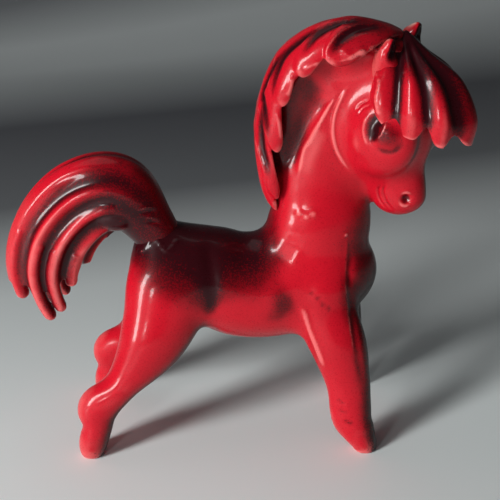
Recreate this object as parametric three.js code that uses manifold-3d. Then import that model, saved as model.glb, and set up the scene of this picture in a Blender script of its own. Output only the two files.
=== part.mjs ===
// A prancing pony figurine in glazed earthenware, slip cast as separate pieces that are joined with slip.
// Millimetres, +Z up. The pony faces +X, its right flank faces -Y, and its hooves stand on a shelf at z = 0.
import * as THREE from "three";
import { mergeVertices } from "three/addons/utils/BufferGeometryUtils.js";
import Module from "manifold-3d";

// How the pieces are cast and luted
const jointGap = 0.3; // between two pieces
const castWall = 4.5; // thickness of the cast shell, which the vent goes through
const ventDiameter = 3.4; // pin hole under the belly that lets hot air out in the kiln

// Trunk, with x = 0 at the middle of its length
const trunkLength = 120; // rump to chest
const barrelHeight = 77.5; // shelf to the barrel's centre line
const barrelDepth = 52.5;
const barrelWidth = 48;
const rumpDepth = 42;
const rumpWidth = 45;
const rumpRise = 12; // centre of the rump above the barrel's centre line
const chestDepth = 54;
const chestWidth = 46;
const chestRise = 10;

// Legs
const hipsBehind = 42; // hip joints behind the middle of the trunk
const thighDepth = 44;
const thighWidth = 29;
const gaskinDepth = 25;
const hockDepth = 20;
const hindReach = 40.5; // hoof behind the hip
const hindStance = 61; // between the middles of the hind hooves
const hindLead = 2.5; // the left hind leg ahead of the right one
const shouldersAhead = 34; // shoulder joints ahead of the middle of the trunk
const armDepth = 28;
const armWidth = 24;
const kneeDepth = 21.5;
const frontReach = 20.5; // hoof ahead of the shoulder
const frontStance = 62; // between the middles of the front hooves
const frontLead = 3; // the left front leg ahead of the right one
const shankWidth = 16;
const hoofLength = 12;
const hoofWidth = 12;

// Neck and head
const neckHeight = 121.5; // barrel's centre line to the poll, between the ears
const neckDepth = 40;
const neckWidth = 30;
const webDepth = 16; // the narrow back of the neck under the mane
const webWidth = 26; // at the poll
const webSeat = 1; // how far it reaches into the roof of the mane
const pollAhead = 66; // poll ahead of the middle of the trunk
const pollAside = 10; // poll to the right of the midplane, where the neck bends
const headTurn = 35; // degrees, towards the pony's right
const headLength = 80; // poll to lower lip
const cheekDepth = 41;
const cheekWidth = 44;
const muzzleDepth = 27.5;
const muzzleWidth = 20;
const eyeDiameter = 15; // with its lids
const nostrilDiameter = 4.4;
const earHeight = 14;
const earWidth = 10;
const earSpread = 27; // between the middles of the ears

// Hair
const maneWidth = 40; // across both free edges
const maneDrop = 21; // crest to the free edges, at the poll
const maneTailDrop = 9; // crest to the free edges, at the withers
const maneWall = 5;
const maneRelief = 3; // how far the locks stand out of the roof
const maneLockDepth = 6.5;
// Every lock of the mane on one side: where its tip lies as a share of the crest, its share of the way round
// to the free edge, and its width
const maneLocks = [
  [0.64, 0.94, 16],
  [0.51, 0.78, 13],
  [0.39, 0.76, 12.5],
  [0.25, 1, 12],
  [0.12, 1.02, 10],
  [0.08, 0.6, 8.5],
];
const forelockReach = 37; // poll to the fringe, ahead
const forelockSpread = 23; // poll to the fringe, at the temples
const forelockRise = 8; // crown of the forelock above the poll
const forelockDrop = 49; // crown to the fringe
const forelockWall = 5.5;
const forelockRelief = 2.4; // depth of the grooves
const forelockGrooves = [-104, -71, -35, -13, 20, 52, 86]; // degrees from straight ahead, towards the left
const tailDepth = 43; // seen from the side
const tailWidth = 32;
const tailReach = 57; // root to the centre line of the fall
const tailRise = 24; // root to the top of the centre line
const tailFall = 66; // top of the centre line to the tips
const tailLocks = 10; // all round
const tailRelief = 2.6;
const tailEnds = [0.2, 0.13, 0.07, 0.09, 0.19]; // how much shorter each lock is, from inside the curl

const wasm = await Module();
wasm.setup();

const vector = (x, y, z) => new THREE.Vector3(x, y, z);
const mix = THREE.MathUtils.lerp;
const ease = THREE.MathUtils.smoothstep;

function toSolid(geometry) {
  geometry.deleteAttribute("normal");
  geometry.deleteAttribute("uv");
  const mesh = mergeVertices(geometry, 1e-4);
  return new wasm.Manifold(
    new wasm.Mesh({
      numProp: 3,
      vertProperties: new Float32Array(mesh.attributes.position.array),
      triVerts: new Uint32Array(mesh.index.array),
    }),
  );
}

function toGeometry(solid) {
  const { vertProperties, triVerts } = solid.getMesh();
  return new THREE.BufferGeometry()
    .setAttribute("position", new THREE.BufferAttribute(vertProperties, 3))
    .setIndex(new THREE.BufferAttribute(triVerts, 1));
}

// Every point of a geometry moved to where place(x, y, z) says.
function reshape(geometry, place) {
  const { position } = geometry.attributes;
  for (let i = 0; i < position.count; i++) {
    position.setXYZ(i, ...place(position.getX(i), position.getY(i), position.getZ(i)));
  }
  return geometry;
}

// The solid with its skin moved out by the joint gap. A neighbour is cut with it, so that they never touch.
function eased(solid) {
  const geometry = toGeometry(solid);
  geometry.computeVertexNormals();
  const { position, normal } = geometry.attributes;
  for (let i = 0; i < position.count; i++) {
    const skin = vector().fromBufferAttribute(position, i);
    skin.addScaledVector(vector().fromBufferAttribute(normal, i), jointGap);
    position.setXYZ(i, ...skin);
  }
  return toSolid(geometry);
}

// A rounded section: turn 0 points along the depth and a quarter turn along the width.
const oval = (turn) => [Math.cos(turn), Math.sin(turn)];

// A lock of hair in section: 0 in the groove at a whole phase, 1 on the ridge half way between two grooves.
const lock = (phase) => Math.sin(Math.PI * phase) ** 2;

// A smooth line through some points
const spine = (points) => new THREE.CatmullRomCurve3(points, false, "catmullrom");

// Clay drawn out along a line. A station is [x, y, z, depth, width], and the ends are rounded off over the
// given shares of the line. section(turn, t) gives the outline in half depths and half widths, trail(turn)
// draws the far end back by a share of the line, and facing(t) is the way that the depth points.
function limb(stations, options = {}) {
  const { sides = 20, rings = 18, start = 0.08, end = 0.08 } = options;
  const { section = oval, trail = () => 0, facing } = options;
  const line = spine(stations.map(([x, y, z]) => vector(x, y, z)));
  const girth = spine(stations.map(([, , , depth, width]) => vector(depth / 2, width / 2, 0)));
  const capShare = 0.2; // of the rings, at each end
  return toSolid(
    reshape(new THREE.SphereGeometry(1, sides, rings), (x, y, z) => {
      const along = Math.acos(THREE.MathUtils.clamp(y, -1, 1)) / Math.PI;
      const turn = Math.atan2(z, -x);
      let t = THREE.MathUtils.mapLinear(along, capShare, 1 - capShare, start, 1 - end);
      let swell = 1;
      if (along < capShare) {
        const lift = ((along / capShare) * Math.PI) / 2;
        t = start * (1 - Math.cos(lift));
        swell = Math.sin(lift);
      } else if (along > 1 - capShare) {
        const lift = (((1 - along) / capShare) * Math.PI) / 2;
        t = 1 - end * (1 - Math.cos(lift));
        swell = Math.sin(lift);
      }
      t -= trail(turn) * ease(along, 0.5, 1) * swell;
      const forward = line.getTangent(t);
      const sideways = vector(0, 1, 0).addScaledVector(forward, -forward.y);
      const across = facing ? facing(t).cross(forward) : sideways;
      across.normalize();
      const deep = vector().crossVectors(forward, across);
      const [halfDepth, halfWidth] = girth.getPoint(t).toArray();
      const [d, w] = section(turn, t);
      return line
        .getPoint(t)
        .addScaledVector(deep, d * halfDepth * swell)
        .addScaledVector(across, w * halfWidth * swell);
    }),
  );
}

// A slab of clay bent to shape. shape(a, b, outer) gives the point at the shares a across and b along,
// on the outer or the inner face.
function slab(stepsAcross, stepsAlong, shape) {
  const block = new THREE.BoxGeometry(1, 1, 1, stepsAcross, stepsAlong);
  return toSolid(reshape(block, (x, y, z) => shape(0.5 - x, y + 0.5, z > 0)));
}

const placed = (geometry, x, y, z) => toSolid(geometry.translate(x, y, z));

function trunk() {
  const half = trunkLength / 2;
  const belly = placed(
    new THREE.CylinderGeometry(ventDiameter / 2, ventDiameter / 2, 2 * castWall, 12).rotateX(Math.PI / 2),
    -half * 0.05,
    0,
    barrelHeight - barrelDepth / 2,
  );
  return limb(
    [
      [-half * 1.02, 0, barrelHeight + rumpRise, rumpDepth * 0.9, rumpWidth * 0.8],
      [-half * 0.66, 0, barrelHeight + rumpRise, rumpDepth, rumpWidth],
      [-half * 0.34, 0, barrelHeight + rumpRise * 0.5, mix(rumpDepth, barrelDepth, 0.6), barrelWidth],
      [-half * 0.1, 0, barrelHeight, barrelDepth, barrelWidth],
      [half * 0.2, 0, barrelHeight, barrelDepth, barrelWidth],
      [half * 0.55, 0, barrelHeight + chestRise * 0.7, chestDepth, chestWidth],
      [half * 1.02, 0, barrelHeight + chestRise, chestDepth * 0.9, chestWidth * 0.9],
    ],
    { sides: 26, rings: 24, start: 0.12, end: 0.16 },
  ).subtract(belly);
}

// The crest of the mane in the midplane, from the withers to the poll.
const crest = spine([
  vector(pollAhead * 0.23, 0, barrelHeight + neckHeight * 0.23),
  vector(pollAhead * 0.06, 0, barrelHeight + neckHeight * 0.39),
  vector(0, 0, barrelHeight + neckHeight * 0.6),
  vector(pollAhead * 0.03, 0, barrelHeight + neckHeight * 0.785),
  vector(pollAhead * 0.152, -pollAside * 0.2, barrelHeight + neckHeight * 0.95),
  vector(pollAhead * 0.384, -pollAside * 0.5, barrelHeight + neckHeight * 1.06),
  vector(pollAhead * 0.64, -pollAside * 0.8, barrelHeight + neckHeight * 1.1),
  vector(pollAhead * 0.88, -pollAside, barrelHeight + neckHeight * 1.085),
  vector(pollAhead * 1.04, -pollAside, barrelHeight + neckHeight * 1.05),
]);

// The way out from the crest at the share b along it.
function outward(b) {
  const forward = crest.getTangent(b);
  return vector(-forward.z, 0, forward.x);
}

// The neck has a narrow back that carries the roof of the mane.
function neck() {
  const poll = barrelHeight + neckHeight;
  const front = limb(
    [
      [pollAhead * 0.41, 0, barrelHeight + neckHeight * 0.07, neckDepth * 1.28, neckWidth * 1.35],
      [pollAhead * 0.49, 0, barrelHeight + neckHeight * 0.28, neckDepth * 1.25, neckWidth * 1.25],
      [pollAhead * 0.5, 0, barrelHeight + neckHeight * 0.44, neckDepth * 1.07, neckWidth],
      [pollAhead * 0.52, -pollAside * 0.1, poll - neckHeight * 0.4, neckDepth * 1.01, neckWidth * 0.84],
      [pollAhead * 0.64, -pollAside * 0.4, poll - neckHeight * 0.2, neckDepth * 0.95, neckWidth * 0.74],
      [pollAhead * 0.86, -pollAside * 0.8, poll - neckHeight * 0.12, neckDepth * 0.8, neckWidth * 0.74],
      [pollAhead, -pollAside, poll - neckHeight * 0.07, neckDepth * 0.5, neckWidth * 0.65],
    ],
    { sides: 22, rings: 20 },
  );
  const web = [0, 0.2, 0.4, 0.6, 0.8, 1].map((share) => {
    const b = mix(0.04, 0.92, share);
    const middle = crest.getPoint(b).addScaledVector(outward(b), -(maneWall + webSeat + webDepth / 2));
    return [...middle, webDepth, webWidth * mix(0.4, 1, b ** 1.5)];
  });
  return front.add(limb(web, { sides: 12, rings: 14 }));
}

// The head's own frame has its origin at the poll, +X along the face's heading and +Z up.
const headFrame = new THREE.Matrix4()
  .makeRotationZ(THREE.MathUtils.degToRad(-headTurn))
  .setPosition(pollAhead, -pollAside, barrelHeight + neckHeight);

const onHead = (solid) => toSolid(toGeometry(solid).applyMatrix4(headFrame));

function skull() {
  const both = (shape) => [1, -1].map((side) => toSolid(shape(side)));
  const cheeks = both((side) =>
    new THREE.SphereGeometry(1, 20, 14)
      .scale(cheekDepth * 0.53, cheekWidth * 0.26, cheekDepth * 0.53)
      .rotateZ(side * 0.16)
      .translate(-cheekDepth * 0.13, side * cheekWidth * 0.26, -headLength * 0.47),
  );
  const eyes = both((side) =>
    new THREE.SphereGeometry(eyeDiameter * 0.66, 20, 16)
      .rotateX(Math.PI / 2)
      .translate(cheekDepth * 0.08, side * cheekWidth * 0.34, -headLength * 0.445),
  );
  const nostrils = both((side) =>
    new THREE.SphereGeometry(nostrilDiameter / 2, 12, 8)
      .translate(muzzleDepth * 0.52, side * muzzleWidth * 0.49, -headLength * 0.86),
  );
  const jaw = [mix(muzzleDepth, cheekDepth, 0.25), mix(muzzleWidth, cheekWidth, 0.25)];
  const face = limb(
    [
      [-headLength * 0.076, 0, 0, cheekDepth * 0.5, cheekWidth * 0.55],
      [-headLength * 0.063, 0, -headLength * 0.2, cheekDepth * 0.84, cheekWidth * 0.75],
      [-headLength * 0.032, 0, -headLength * 0.47, cheekDepth, cheekWidth * 0.84],
      [-headLength * 0.013, 0, -headLength * 0.7, ...jaw],
      [headLength * 0.025, 0, -headLength * 0.85, muzzleDepth, muzzleWidth],
      [headLength * 0.055, 0, -headLength, muzzleDepth * 0.9, muzzleWidth * 0.9],
    ],
    { sides: 22, rings: 22, start: 0.1, end: 0.14 },
  );
  const raised = [...cheeks, ...eyes].reduce((solid, one) => solid.add(one), face);
  return nostrils.reduce((solid, one) => solid.subtract(one), raised);
}

// An ear is hollowed in front.
function ear(side) {
  const base = -earHeight * 0.45;
  const cupped = (turn, t) => {
    const front = Math.exp(-(((Math.abs(turn) - Math.PI) / 0.75) ** 2));
    return [Math.cos(turn) * (1 - 0.8 * front * ease(t, 0.25, 0.6) * ease(1 - t, 0, 0.2)), Math.sin(turn)];
  };
  return limb(
    [
      [-earWidth * 0.3, side * earSpread * 0.46, base, earWidth * 1.3, earWidth * 1.1],
      [-earWidth * 0.2, side * earSpread * 0.48, base + earHeight * 0.4, earWidth * 1.15, earWidth],
      [0, side * earSpread * 0.5, base + earHeight * 0.75, earWidth * 0.8, earWidth * 0.65],
      [earWidth * 0.15, side * earSpread * 0.51, base + earHeight, earWidth * 0.25, earWidth * 0.25],
    ],
    { sides: 16, rings: 12, section: cupped },
  );
}

// The mane is a thick roof over the crest, and its free edges stand off the neck. Its locks are combed back
// from the poll and leave the crest one after another, each with its tip towards a free edge.
function mane() {
  const curl = THREE.MathUtils.degToRad(95); // from the crest round to a free edge
  const taper = (b) => Math.sqrt(Math.sin(Math.PI * mix(0.03, 0.9, b)));
  const face = (b, side, depth) => {
    const drop = mix(maneTailDrop, maneDrop, b) * taper(b);
    return crest
      .getPoint(b)
      .addScaledVector(outward(b), (drop - depth) * Math.cos(curl * side) - drop)
      .add(vector(0, ((maneWidth / 2) * taper(b) - depth) * Math.sin(curl * side), 0));
  };
  const strand = (side, [tip, edge, wide]) => {
    const bow = 1 + 5 * (1 - tip) ** 2; // a lock that ends low keeps to the crest for longer
    const at = (t) => mix(0.98, tip, t);
    const away = (t) => side * edge * t ** bow;
    const facing = (t) =>
      outward(at(t))
        .multiplyScalar(Math.cos(curl * away(t)))
        .add(vector(0, Math.sin(curl * away(t)), 0));
    const stations = [0, 0.125, 0.25, 0.375, 0.5, 0.625, 0.75, 0.875, 1].map((t) => [
      ...face(at(t), away(t), maneLockDepth / 2),
      maneLockDepth * mix(0.8, 1, ease(t, 0, 0.5)) * mix(1, 0.6, t ** 3),
      wide * mix(0.45, 1, ease(t, 0, 0.6)) * mix(1, 0.5, t ** 5),
    ]);
    return limb(stations, { sides: 8, rings: 13, end: 0.05, facing });
  };
  const roof = slab(10, 14, (a, b, outer) => {
    const side = 2 * a - 1;
    const depth = outer ? maneRelief : maneWall * mix(1, 0.5, side ** 2) + 0.75 * maneRelief;
    return face(b, side * 0.72, depth);
  });
  return maneLocks.reduce((hair, lock) => hair.add(strand(-1, lock)).add(strand(1, lock)), roof);
}

function forelock() {
  const count = forelockGrooves.length - 1;
  // The fall of the hair from the crown to the fringe, in shares of its reach and its drop
  const fall = spine([
    vector(0.04, 0.02, 0),
    vector(0.36, 0.2, 0),
    vector(0.78, 0.41, 0),
    vector(1, 0.74, 0),
    vector(0.97, 1, 0),
  ]);
  return slab(4 * count, 11, (a, b, outer) => {
    const number = Math.min(Math.floor(a * count), count - 1);
    const between = mix(forelockGrooves[number], forelockGrooves[number + 1], a * count - number);
    const turn = THREE.MathUtils.degToRad(between);
    const hair = lock(a * count);
    const groove = (1 - hair) * forelockRelief * ease(b, 0.05, 0.5);
    const thick = outer ? groove : forelockWall * mix(1, 0.5, b ** 4);
    const reach = 1 / Math.hypot(Math.cos(turn) / forelockReach, Math.sin(turn) / forelockSpread);
    const drop = forelockDrop * mix(0.45, 1, Math.cos(turn / 2) ** 2);
    const [out, down] = fall.getPoint(b * mix(0.91, 1, hair ** 0.6)).toArray();
    return vector(
      (reach - thick) * out * Math.cos(turn),
      (reach - thick) * out * Math.sin(turn),
      forelockRise - thick - (drop - thick) * down,
    );
  });
}

function tail() {
  const root = vector(-hipsBehind - 1.5, 0, barrelHeight + rumpRise + rumpDepth * 0.32);
  const top = root.z + tailRise;
  const first = THREE.MathUtils.degToRad(24); // from the inside of the curl to the first ridge
  const step = (2 * Math.PI) / tailLocks;
  const place = (turn) => (Math.abs(turn) - first) / step; // in locks past the first one
  const ridge = (turn) => Math.cos(Math.PI * place(turn)) ** 2;
  const locks = (turn, t) => {
    const relief = tailRelief * (1 - ridge(turn) ** 0.8) * ease(t, 0.12, 0.5);
    const [deep, wide] = oval(turn);
    return [deep * (1 - (2 * relief) / tailDepth), wide * (1 - (2 * relief) / tailWidth)];
  };
  const tips = (turn) => {
    const along = THREE.MathUtils.clamp(place(turn), 0, tailEnds.length - 1);
    const number = Math.min(Math.floor(along), tailEnds.length - 2);
    return mix(tailEnds[number], tailEnds[number + 1], along - number) + 0.05 * (1 - ridge(turn));
  };
  return limb(
    [
      [root.x + tailReach * 0.07, 0, root.z - tailRise * 0.3, tailDepth * 0.45, tailWidth * 0.7],
      [root.x - tailReach * 0.11, 0, top - tailRise * 0.66, tailDepth * 0.56, tailWidth * 0.75],
      [root.x - tailReach * 0.36, 0, top, tailDepth * 0.86, tailWidth],
      [root.x - tailReach * 0.64, 0, top - tailFall * 0.05, tailDepth * 0.98, tailWidth],
      [root.x - tailReach * 0.88, 0, top - tailFall * 0.26, tailDepth, tailWidth],
      [root.x - tailReach * 0.99, 0, top - tailFall * 0.52, tailDepth * 0.97, tailWidth * 0.95],
      [root.x - tailReach * 0.98, 0, top - tailFall * 0.77, tailDepth * 0.86, tailWidth * 0.85],
      [root.x - tailReach * 0.9, 0, top - tailFall, tailDepth * 0.7, tailWidth * 0.7],
    ],
    { sides: 5 * tailLocks, rings: 26, section: locks, end: 0.05, trail: tips },
  );
}

// What lies below the shelf is cut away, which leaves a flat sole.
function standing(leg) {
  const size = 400;
  return leg.subtract(placed(new THREE.BoxGeometry(size, size, size), 0, 0, -size / 2));
}

function hindLeg(side) {
  const hip = -hipsBehind + (side > 0 ? hindLead : 0);
  const out = (share) => side * mix(rumpWidth / 4, hindStance / 2, share);
  return standing(
    limb(
      [
        [hip + thighDepth * 0.08, out(0), barrelHeight + rumpRise * 1.7, thighDepth * 0.9, thighWidth * 0.9],
        [hip + thighDepth * 0.01, out(0.12), barrelHeight + rumpRise * 0.4, thighDepth, thighWidth],
        [hip - hindReach * 0.2, out(0.5), barrelHeight * 0.75, thighDepth * 0.75, thighWidth * 0.88],
        [hip - hindReach * 0.58, out(0.8), barrelHeight * 0.48, gaskinDepth * 0.68, shankWidth * 1.15],
        [hip - hindReach * 0.86, out(0.92), barrelHeight * 0.34, hockDepth * 1.02, shankWidth],
        [hip - hindReach * 0.88, out(0.97), barrelHeight * 0.22, hoofLength * 1.24, shankWidth * 0.9],
        [hip - hindReach * 0.95, out(1), barrelHeight * 0.09, hoofLength * 1.2, hoofWidth * 1.1],
        [hip - hindReach, out(1), -hoofLength / 4, hoofLength * 0.8, hoofWidth * 0.8],
      ],
      { sides: 18, rings: 22 },
    ),
  );
}

function frontLeg(side) {
  const out = (share) => side * mix(chestWidth / 4, frontStance / 2, share);
  const shoulder = shouldersAhead + (side > 0 ? frontLead : 0);
  const top = barrelHeight + chestRise * 1.6;
  return standing(
    limb(
      [
        [shoulder - frontReach * 0.1, out(0), top, armDepth * 1.3, armWidth * 1.1],
        [shoulder + frontReach * 0.02, out(0.2), barrelHeight * 0.92, armDepth * 1.12, armWidth],
        [shoulder + frontReach * 0.36, out(0.55), barrelHeight * 0.68, armDepth * 0.98, armWidth * 0.85],
        [shoulder + frontReach * 0.58, out(0.74), barrelHeight * 0.45, kneeDepth * 1.02, shankWidth],
        [shoulder + frontReach * 0.67, out(0.86), barrelHeight * 0.23, kneeDepth * 0.95, shankWidth * 0.95],
        [shoulder + frontReach * 0.84, out(0.95), barrelHeight * 0.13, hoofLength * 1.4, hoofWidth * 1.15],
        [shoulder + frontReach, out(1), barrelHeight * 0.04, hoofLength * 1.05, hoofWidth],
        [shoulder + frontReach * 1.05, out(1), -hoofLength / 3, hoofLength * 0.8, hoofWidth * 0.8],
      ],
      { sides: 18, rings: 20 },
    ),
  );
}

// The pieces in the order in which they are luted on. Each is cut back to those before it.
const forms = {
  trunk_casting: trunk(),
  head_casting: onHead(skull()),
  neck_casting: neck(),
  hind_leg_right: hindLeg(-1),
  hind_leg_left: hindLeg(1),
  front_leg_right: frontLeg(-1),
  front_leg_left: frontLeg(1),
  tail: tail(),
  ear_right: onHead(ear(-1)),
  ear_left: onHead(ear(1)),
  mane: mane(),
  forelock: onHead(forelock()),
};

// What is left of a form once the pieces before it have taken their room, without the crumbs and slivers.
function fitted(name) {
  const names = Object.keys(forms);
  const before = names.slice(0, names.indexOf(name));
  const left = before.reduce((solid, other) => solid.subtract(eased(forms[other])), forms[name]);
  const [largest] = left.decompose().sort((one, other) => other.volume() - one.volume());
  return largest.simplify(0.03);
}

const glazes = {
  trunk_casting: 0x8e1220,
  neck_casting: 0xc4152a,
  head_casting: 0xb81628,
  mane: 0x9c1a2a,
  forelock: 0x7a1a26,
  ear_right: 0x96404a,
  ear_left: 0x8a6a62,
  tail: 0xa01c2b,
  hind_leg_right: 0xb81226,
  hind_leg_left: 0xc4182a,
  front_leg_right: 0xc01328,
  front_leg_left: 0x8a1422,
};

const pony = new THREE.Group();
for (const name of Object.keys(forms)) {
  const glaze = new THREE.MeshStandardMaterial({ color: glazes[name], roughness: 0.12, metalness: 0 });
  const piece = new THREE.Mesh(toGeometry(fitted(name)), glaze);
  piece.name = name;
  pony.add(piece);
}
const middle = new THREE.Box3().setFromObject(pony).getCenter(vector());
pony.position.set(-middle.x, -middle.y, 0);

export default pony;
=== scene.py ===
"""A prancing pony figurine in flambe-glazed earthenware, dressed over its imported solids.

Shapes are worked in millimetres in the potter's own frame: x = 0 at the middle of the trunk, y = 0 on the
midplane and z = 0 on the shelf, with the pony facing +X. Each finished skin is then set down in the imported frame.
"""

import math
from typing import NamedTuple

import bmesh
import bpy
import numpy as np
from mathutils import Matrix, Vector
from mathutils.bvhtree import BVHTree


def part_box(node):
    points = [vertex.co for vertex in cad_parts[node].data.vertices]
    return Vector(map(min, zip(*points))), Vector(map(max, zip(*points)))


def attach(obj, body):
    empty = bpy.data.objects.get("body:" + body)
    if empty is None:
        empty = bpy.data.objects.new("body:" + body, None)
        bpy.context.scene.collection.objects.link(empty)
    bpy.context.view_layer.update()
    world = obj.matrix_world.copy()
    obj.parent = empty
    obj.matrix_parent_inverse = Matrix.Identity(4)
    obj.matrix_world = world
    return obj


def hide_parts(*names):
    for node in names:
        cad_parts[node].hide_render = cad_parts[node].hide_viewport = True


bl_info = {
    "name": "Glazed pony",
    "version": (1, 0, 0),
    "blender": (4, 5, 0),
    "location": "3D View > Sidebar > Glazed pony",
    "description": "Models and glazes a slip-cast pony over its packed solids",
    "category": "Object",
}

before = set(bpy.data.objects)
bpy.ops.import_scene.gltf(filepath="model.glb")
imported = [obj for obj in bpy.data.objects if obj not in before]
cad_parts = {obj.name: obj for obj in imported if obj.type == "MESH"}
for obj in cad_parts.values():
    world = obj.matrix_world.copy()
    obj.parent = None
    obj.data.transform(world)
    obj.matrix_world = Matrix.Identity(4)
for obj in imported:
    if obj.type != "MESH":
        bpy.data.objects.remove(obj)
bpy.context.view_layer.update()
trunk_low, trunk_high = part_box("trunk_casting")
SHELF_ORIGIN = Vector(((trunk_low.x + trunk_high.x) / 2, (trunk_low.y + trunk_high.y) / 2, 0.0))
MM = 0.001


class GlazeSizes(bpy.types.PropertyGroup):
    """Sizes of the glaze skin that a user would change."""

    body_grain: bpy.props.FloatProperty(
        name="Body grain", description="Width of one facet of the body's skin",
        default=1.15 * MM, min=0.3 * MM, unit="LENGTH")
    hair_grain: bpy.props.FloatProperty(
        name="Hair grain", description="Width of one facet of the mane, forelock and tail",
        default=0.6 * MM, min=0.3 * MM, unit="LENGTH")
    speckle: bpy.props.FloatProperty(
        name="Speckle", description="Width of the specks in the running glaze",
        default=0.8 * MM, min=0.1 * MM, unit="LENGTH")


class GlazeColours(bpy.types.PropertyGroup):
    """Colours of the glaze, the clay and the shelf."""

    red: bpy.props.FloatVectorProperty(
        name="Red", description="The glaze at its usual thickness",
        subtype="COLOR", size=3, min=0, max=1, default=(0.56, 0.006, 0.018))
    # The dark colour also stands for painted shade on the sides that face away from the window.
    dark: bpy.props.FloatVectorProperty(
        name="Dark", description="The glaze where it pools",
        subtype="COLOR", size=3, min=0, max=1, default=(0.028, 0.002, 0.004))
    # The thin colour also stands for painted highlights on the cheek, the neck, the breast, the forearm and the mane's
    # lock tips.
    thin: bpy.props.FloatVectorProperty(
        name="Thin", description="The glaze where it thins over a ridge",
        subtype="COLOR", size=3, min=0, max=1, default=(0.78, 0.14, 0.14))
    clay: bpy.props.FloatVectorProperty(
        name="Clay", description="The fired clay that shows through at the tips of the ears",
        subtype="COLOR", size=3, min=0, max=1, default=(0.60, 0.40, 0.34))
    shelf: bpy.props.FloatVectorProperty(
        name="Shelf", description="The shelf under the pony",
        subtype="COLOR", size=3, min=0, max=1, default=(0.84, 0.9, 0.89))
    backdrop: bpy.props.FloatVectorProperty(
        name="Backdrop", description="The shelf's far part and the wall behind",
        subtype="COLOR", size=3, min=0, max=1, default=(0.085, 0.089, 0.098))


# ---------------------------------------------------------------- sizes of the pony, in millimetres
TRUNK_LENGTH = 120
BARREL_HEIGHT, BARREL_DEPTH, BARREL_WIDTH = 77.5, 52.5, 48
RUMP_DEPTH, RUMP_WIDTH, RUMP_RISE = 42, 45, 12
CHEST_DEPTH, CHEST_WIDTH, CHEST_RISE = 54, 46, 10
HIPS_BEHIND, THIGH_DEPTH, THIGH_WIDTH = 42, 44, 29
GASKIN_DEPTH, HOCK_DEPTH, HIND_REACH, HIND_STANCE = 25, 20, 40.5, 61
SHOULDERS_AHEAD, ARM_DEPTH, ARM_WIDTH = 34, 28, 24
KNEE_DEPTH, FRONT_REACH, FRONT_STANCE, SHANK_WIDTH = 21.5, 20.5, 62, 16
FRONT_LEAD, HIND_LEAD = 3, 2.5  # the left legs ahead of the right ones
HOOF_LENGTH, HOOF_WIDTH = 12, 12
NECK_HEIGHT, NECK_DEPTH, NECK_WIDTH = 121.5, 40, 30
POLL = BARREL_HEIGHT + NECK_HEIGHT  # height of the poll, the top of the head between the ears
POLL_AHEAD, POLL_ASIDE, HEAD_TURN, HEAD_LENGTH = 66, 10, 35, 80
CHEEK_DEPTH, CHEEK_WIDTH, MUZZLE_DEPTH, MUZZLE_WIDTH = 41, 44, 27.5, 20
CHEEK_SHARE = 0.47  # share of the head's length from the poll down to the middle of the cheeks
EYE_DIAMETER, NOSTRIL_RING, NOSTRIL_PIT = 15, 3.3, 2.3  # the nostril's two are radii
EAR_HEIGHT, EAR_WIDTH, EAR_SPREAD = 14, 10, 27
EAR_SEATS = {-1: 0.62, 1: 0.45}  # share of its height that each ear is sunk by; the right one sits a little lower

MANE_WIDTH, MANE_DROP, MANE_TAIL_DROP, MANE_WALL, MANE_LOCK_DEPTH = 40, 21, 9, 5, 6.5
MANE_CURL = math.radians(95)  # from the crest round to a free edge
ROOF_OUTSIDE, ROOF_INSIDE = 3.0, 2.2  # how far the mane's roof lies under its locks, and the gap under its wall
WEB_DEPTH, WEB_WIDTH, WEB_SEAT = 16, 26, 1  # the neck's narrow back under the mane, and how far it seats in it
# A lock's tip as its share along the crest, its share round to the free edge, and the lock's width
MANE_TIPS = (
    (0.64, 0.94, 16), (0.51, 0.78, 13), (0.39, 0.76, 12.5), (0.25, 1.0, 12), (0.12, 1.02, 10), (0.08, 0.6, 8.5))

FORELOCK_REACH, FORELOCK_SPREAD, FORELOCK_DROP, FORELOCK_RISE = 37, 23, 49, 8
FORELOCK_RELIEF, FORELOCK_WALL = 2.4, 5.5
FORELOCK_PARTS = (-104, -68, -38, -16, 20, 52, 86)  # degrees round the poll to the grooves between the locks
FORELOCK_NOTCHES = (0.02, -0.04, 0.16, 0.12, 0.12, 0.12, 0.05)  # how far each groove cuts up into the fringe
FORELOCK_LINE = ((0.04, 0.02), (0.36, 0.2), (0.78, 0.41), (1.0, 0.74), (0.97, 1.0))  # out and down, poll to tip
LOW_LOCK_TURN, LOW_LOCK_SPREAD, LOW_LOCK_DROP = -1.33, 0.28, 0.07  # the lock that hangs lowest: radians and share

TAIL_DEPTH, TAIL_WIDTH, TAIL_REACH, TAIL_RISE, TAIL_FALL = 43, 32, 57, 24, 66
TAIL_BEHIND, TAIL_RELIEF = 1.5, 3.0  # the root behind the hips, and the depth of the valleys
TAIL_PARTS = (-22, 22, 63, 93, 125, 175)  # degrees round the tail to its valleys, from the inside of the curl
TAIL_CROWNS = (0, 43, 78, 109, 150)  # and to its locks
TAIL_ENDS = (0.26, 0.18, 0.07, 0.05, 0.16)  # how much shorter each lock ends, from the inside of the curl outwards
TAIL_SEAM_DEPTH, TAIL_SEAM_WIDTH = 0.75, 8  # the groove along the outside of the curl: share of a crown, degrees
LOCK_TIP_SINK, LOCK_TIP_DEPTH, LOCK_TIP_WIDTHS = 3.4, 6.6, (6.5, 6)  # the separate end of each of the tail's locks
BEND_SLIP = (15, 15, 10)  # half sizes of the lump of slip inside the tail's bend

LUTING_GRAIN, EAR_GRAIN = 1.4 * MM, 0.4 * MM  # width of a facet, in metres, on the raw body and on the ears

# ---------------------------------------------------------------- how the glaze runs
CREASE_ROUNDS, CREASE_DEPTH = 5, 0.16  # rounds of smoothing that take a crease away, and how deep a full one is
HOLLOW_ROUNDS, HOLLOW_DEPTH = 40, 0.8  # and the same for a broad hollow
# How much glaze pools in the creases and in the hollows of each piece
BODY_HOLLOWS, MANE_HOLLOWS, HAIR_HOLLOWS, EAR_HOLLOWS = (0.08, 0.35), (0.15, 0.35), (0.2, 0.3), (0.3, 0.6)

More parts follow.
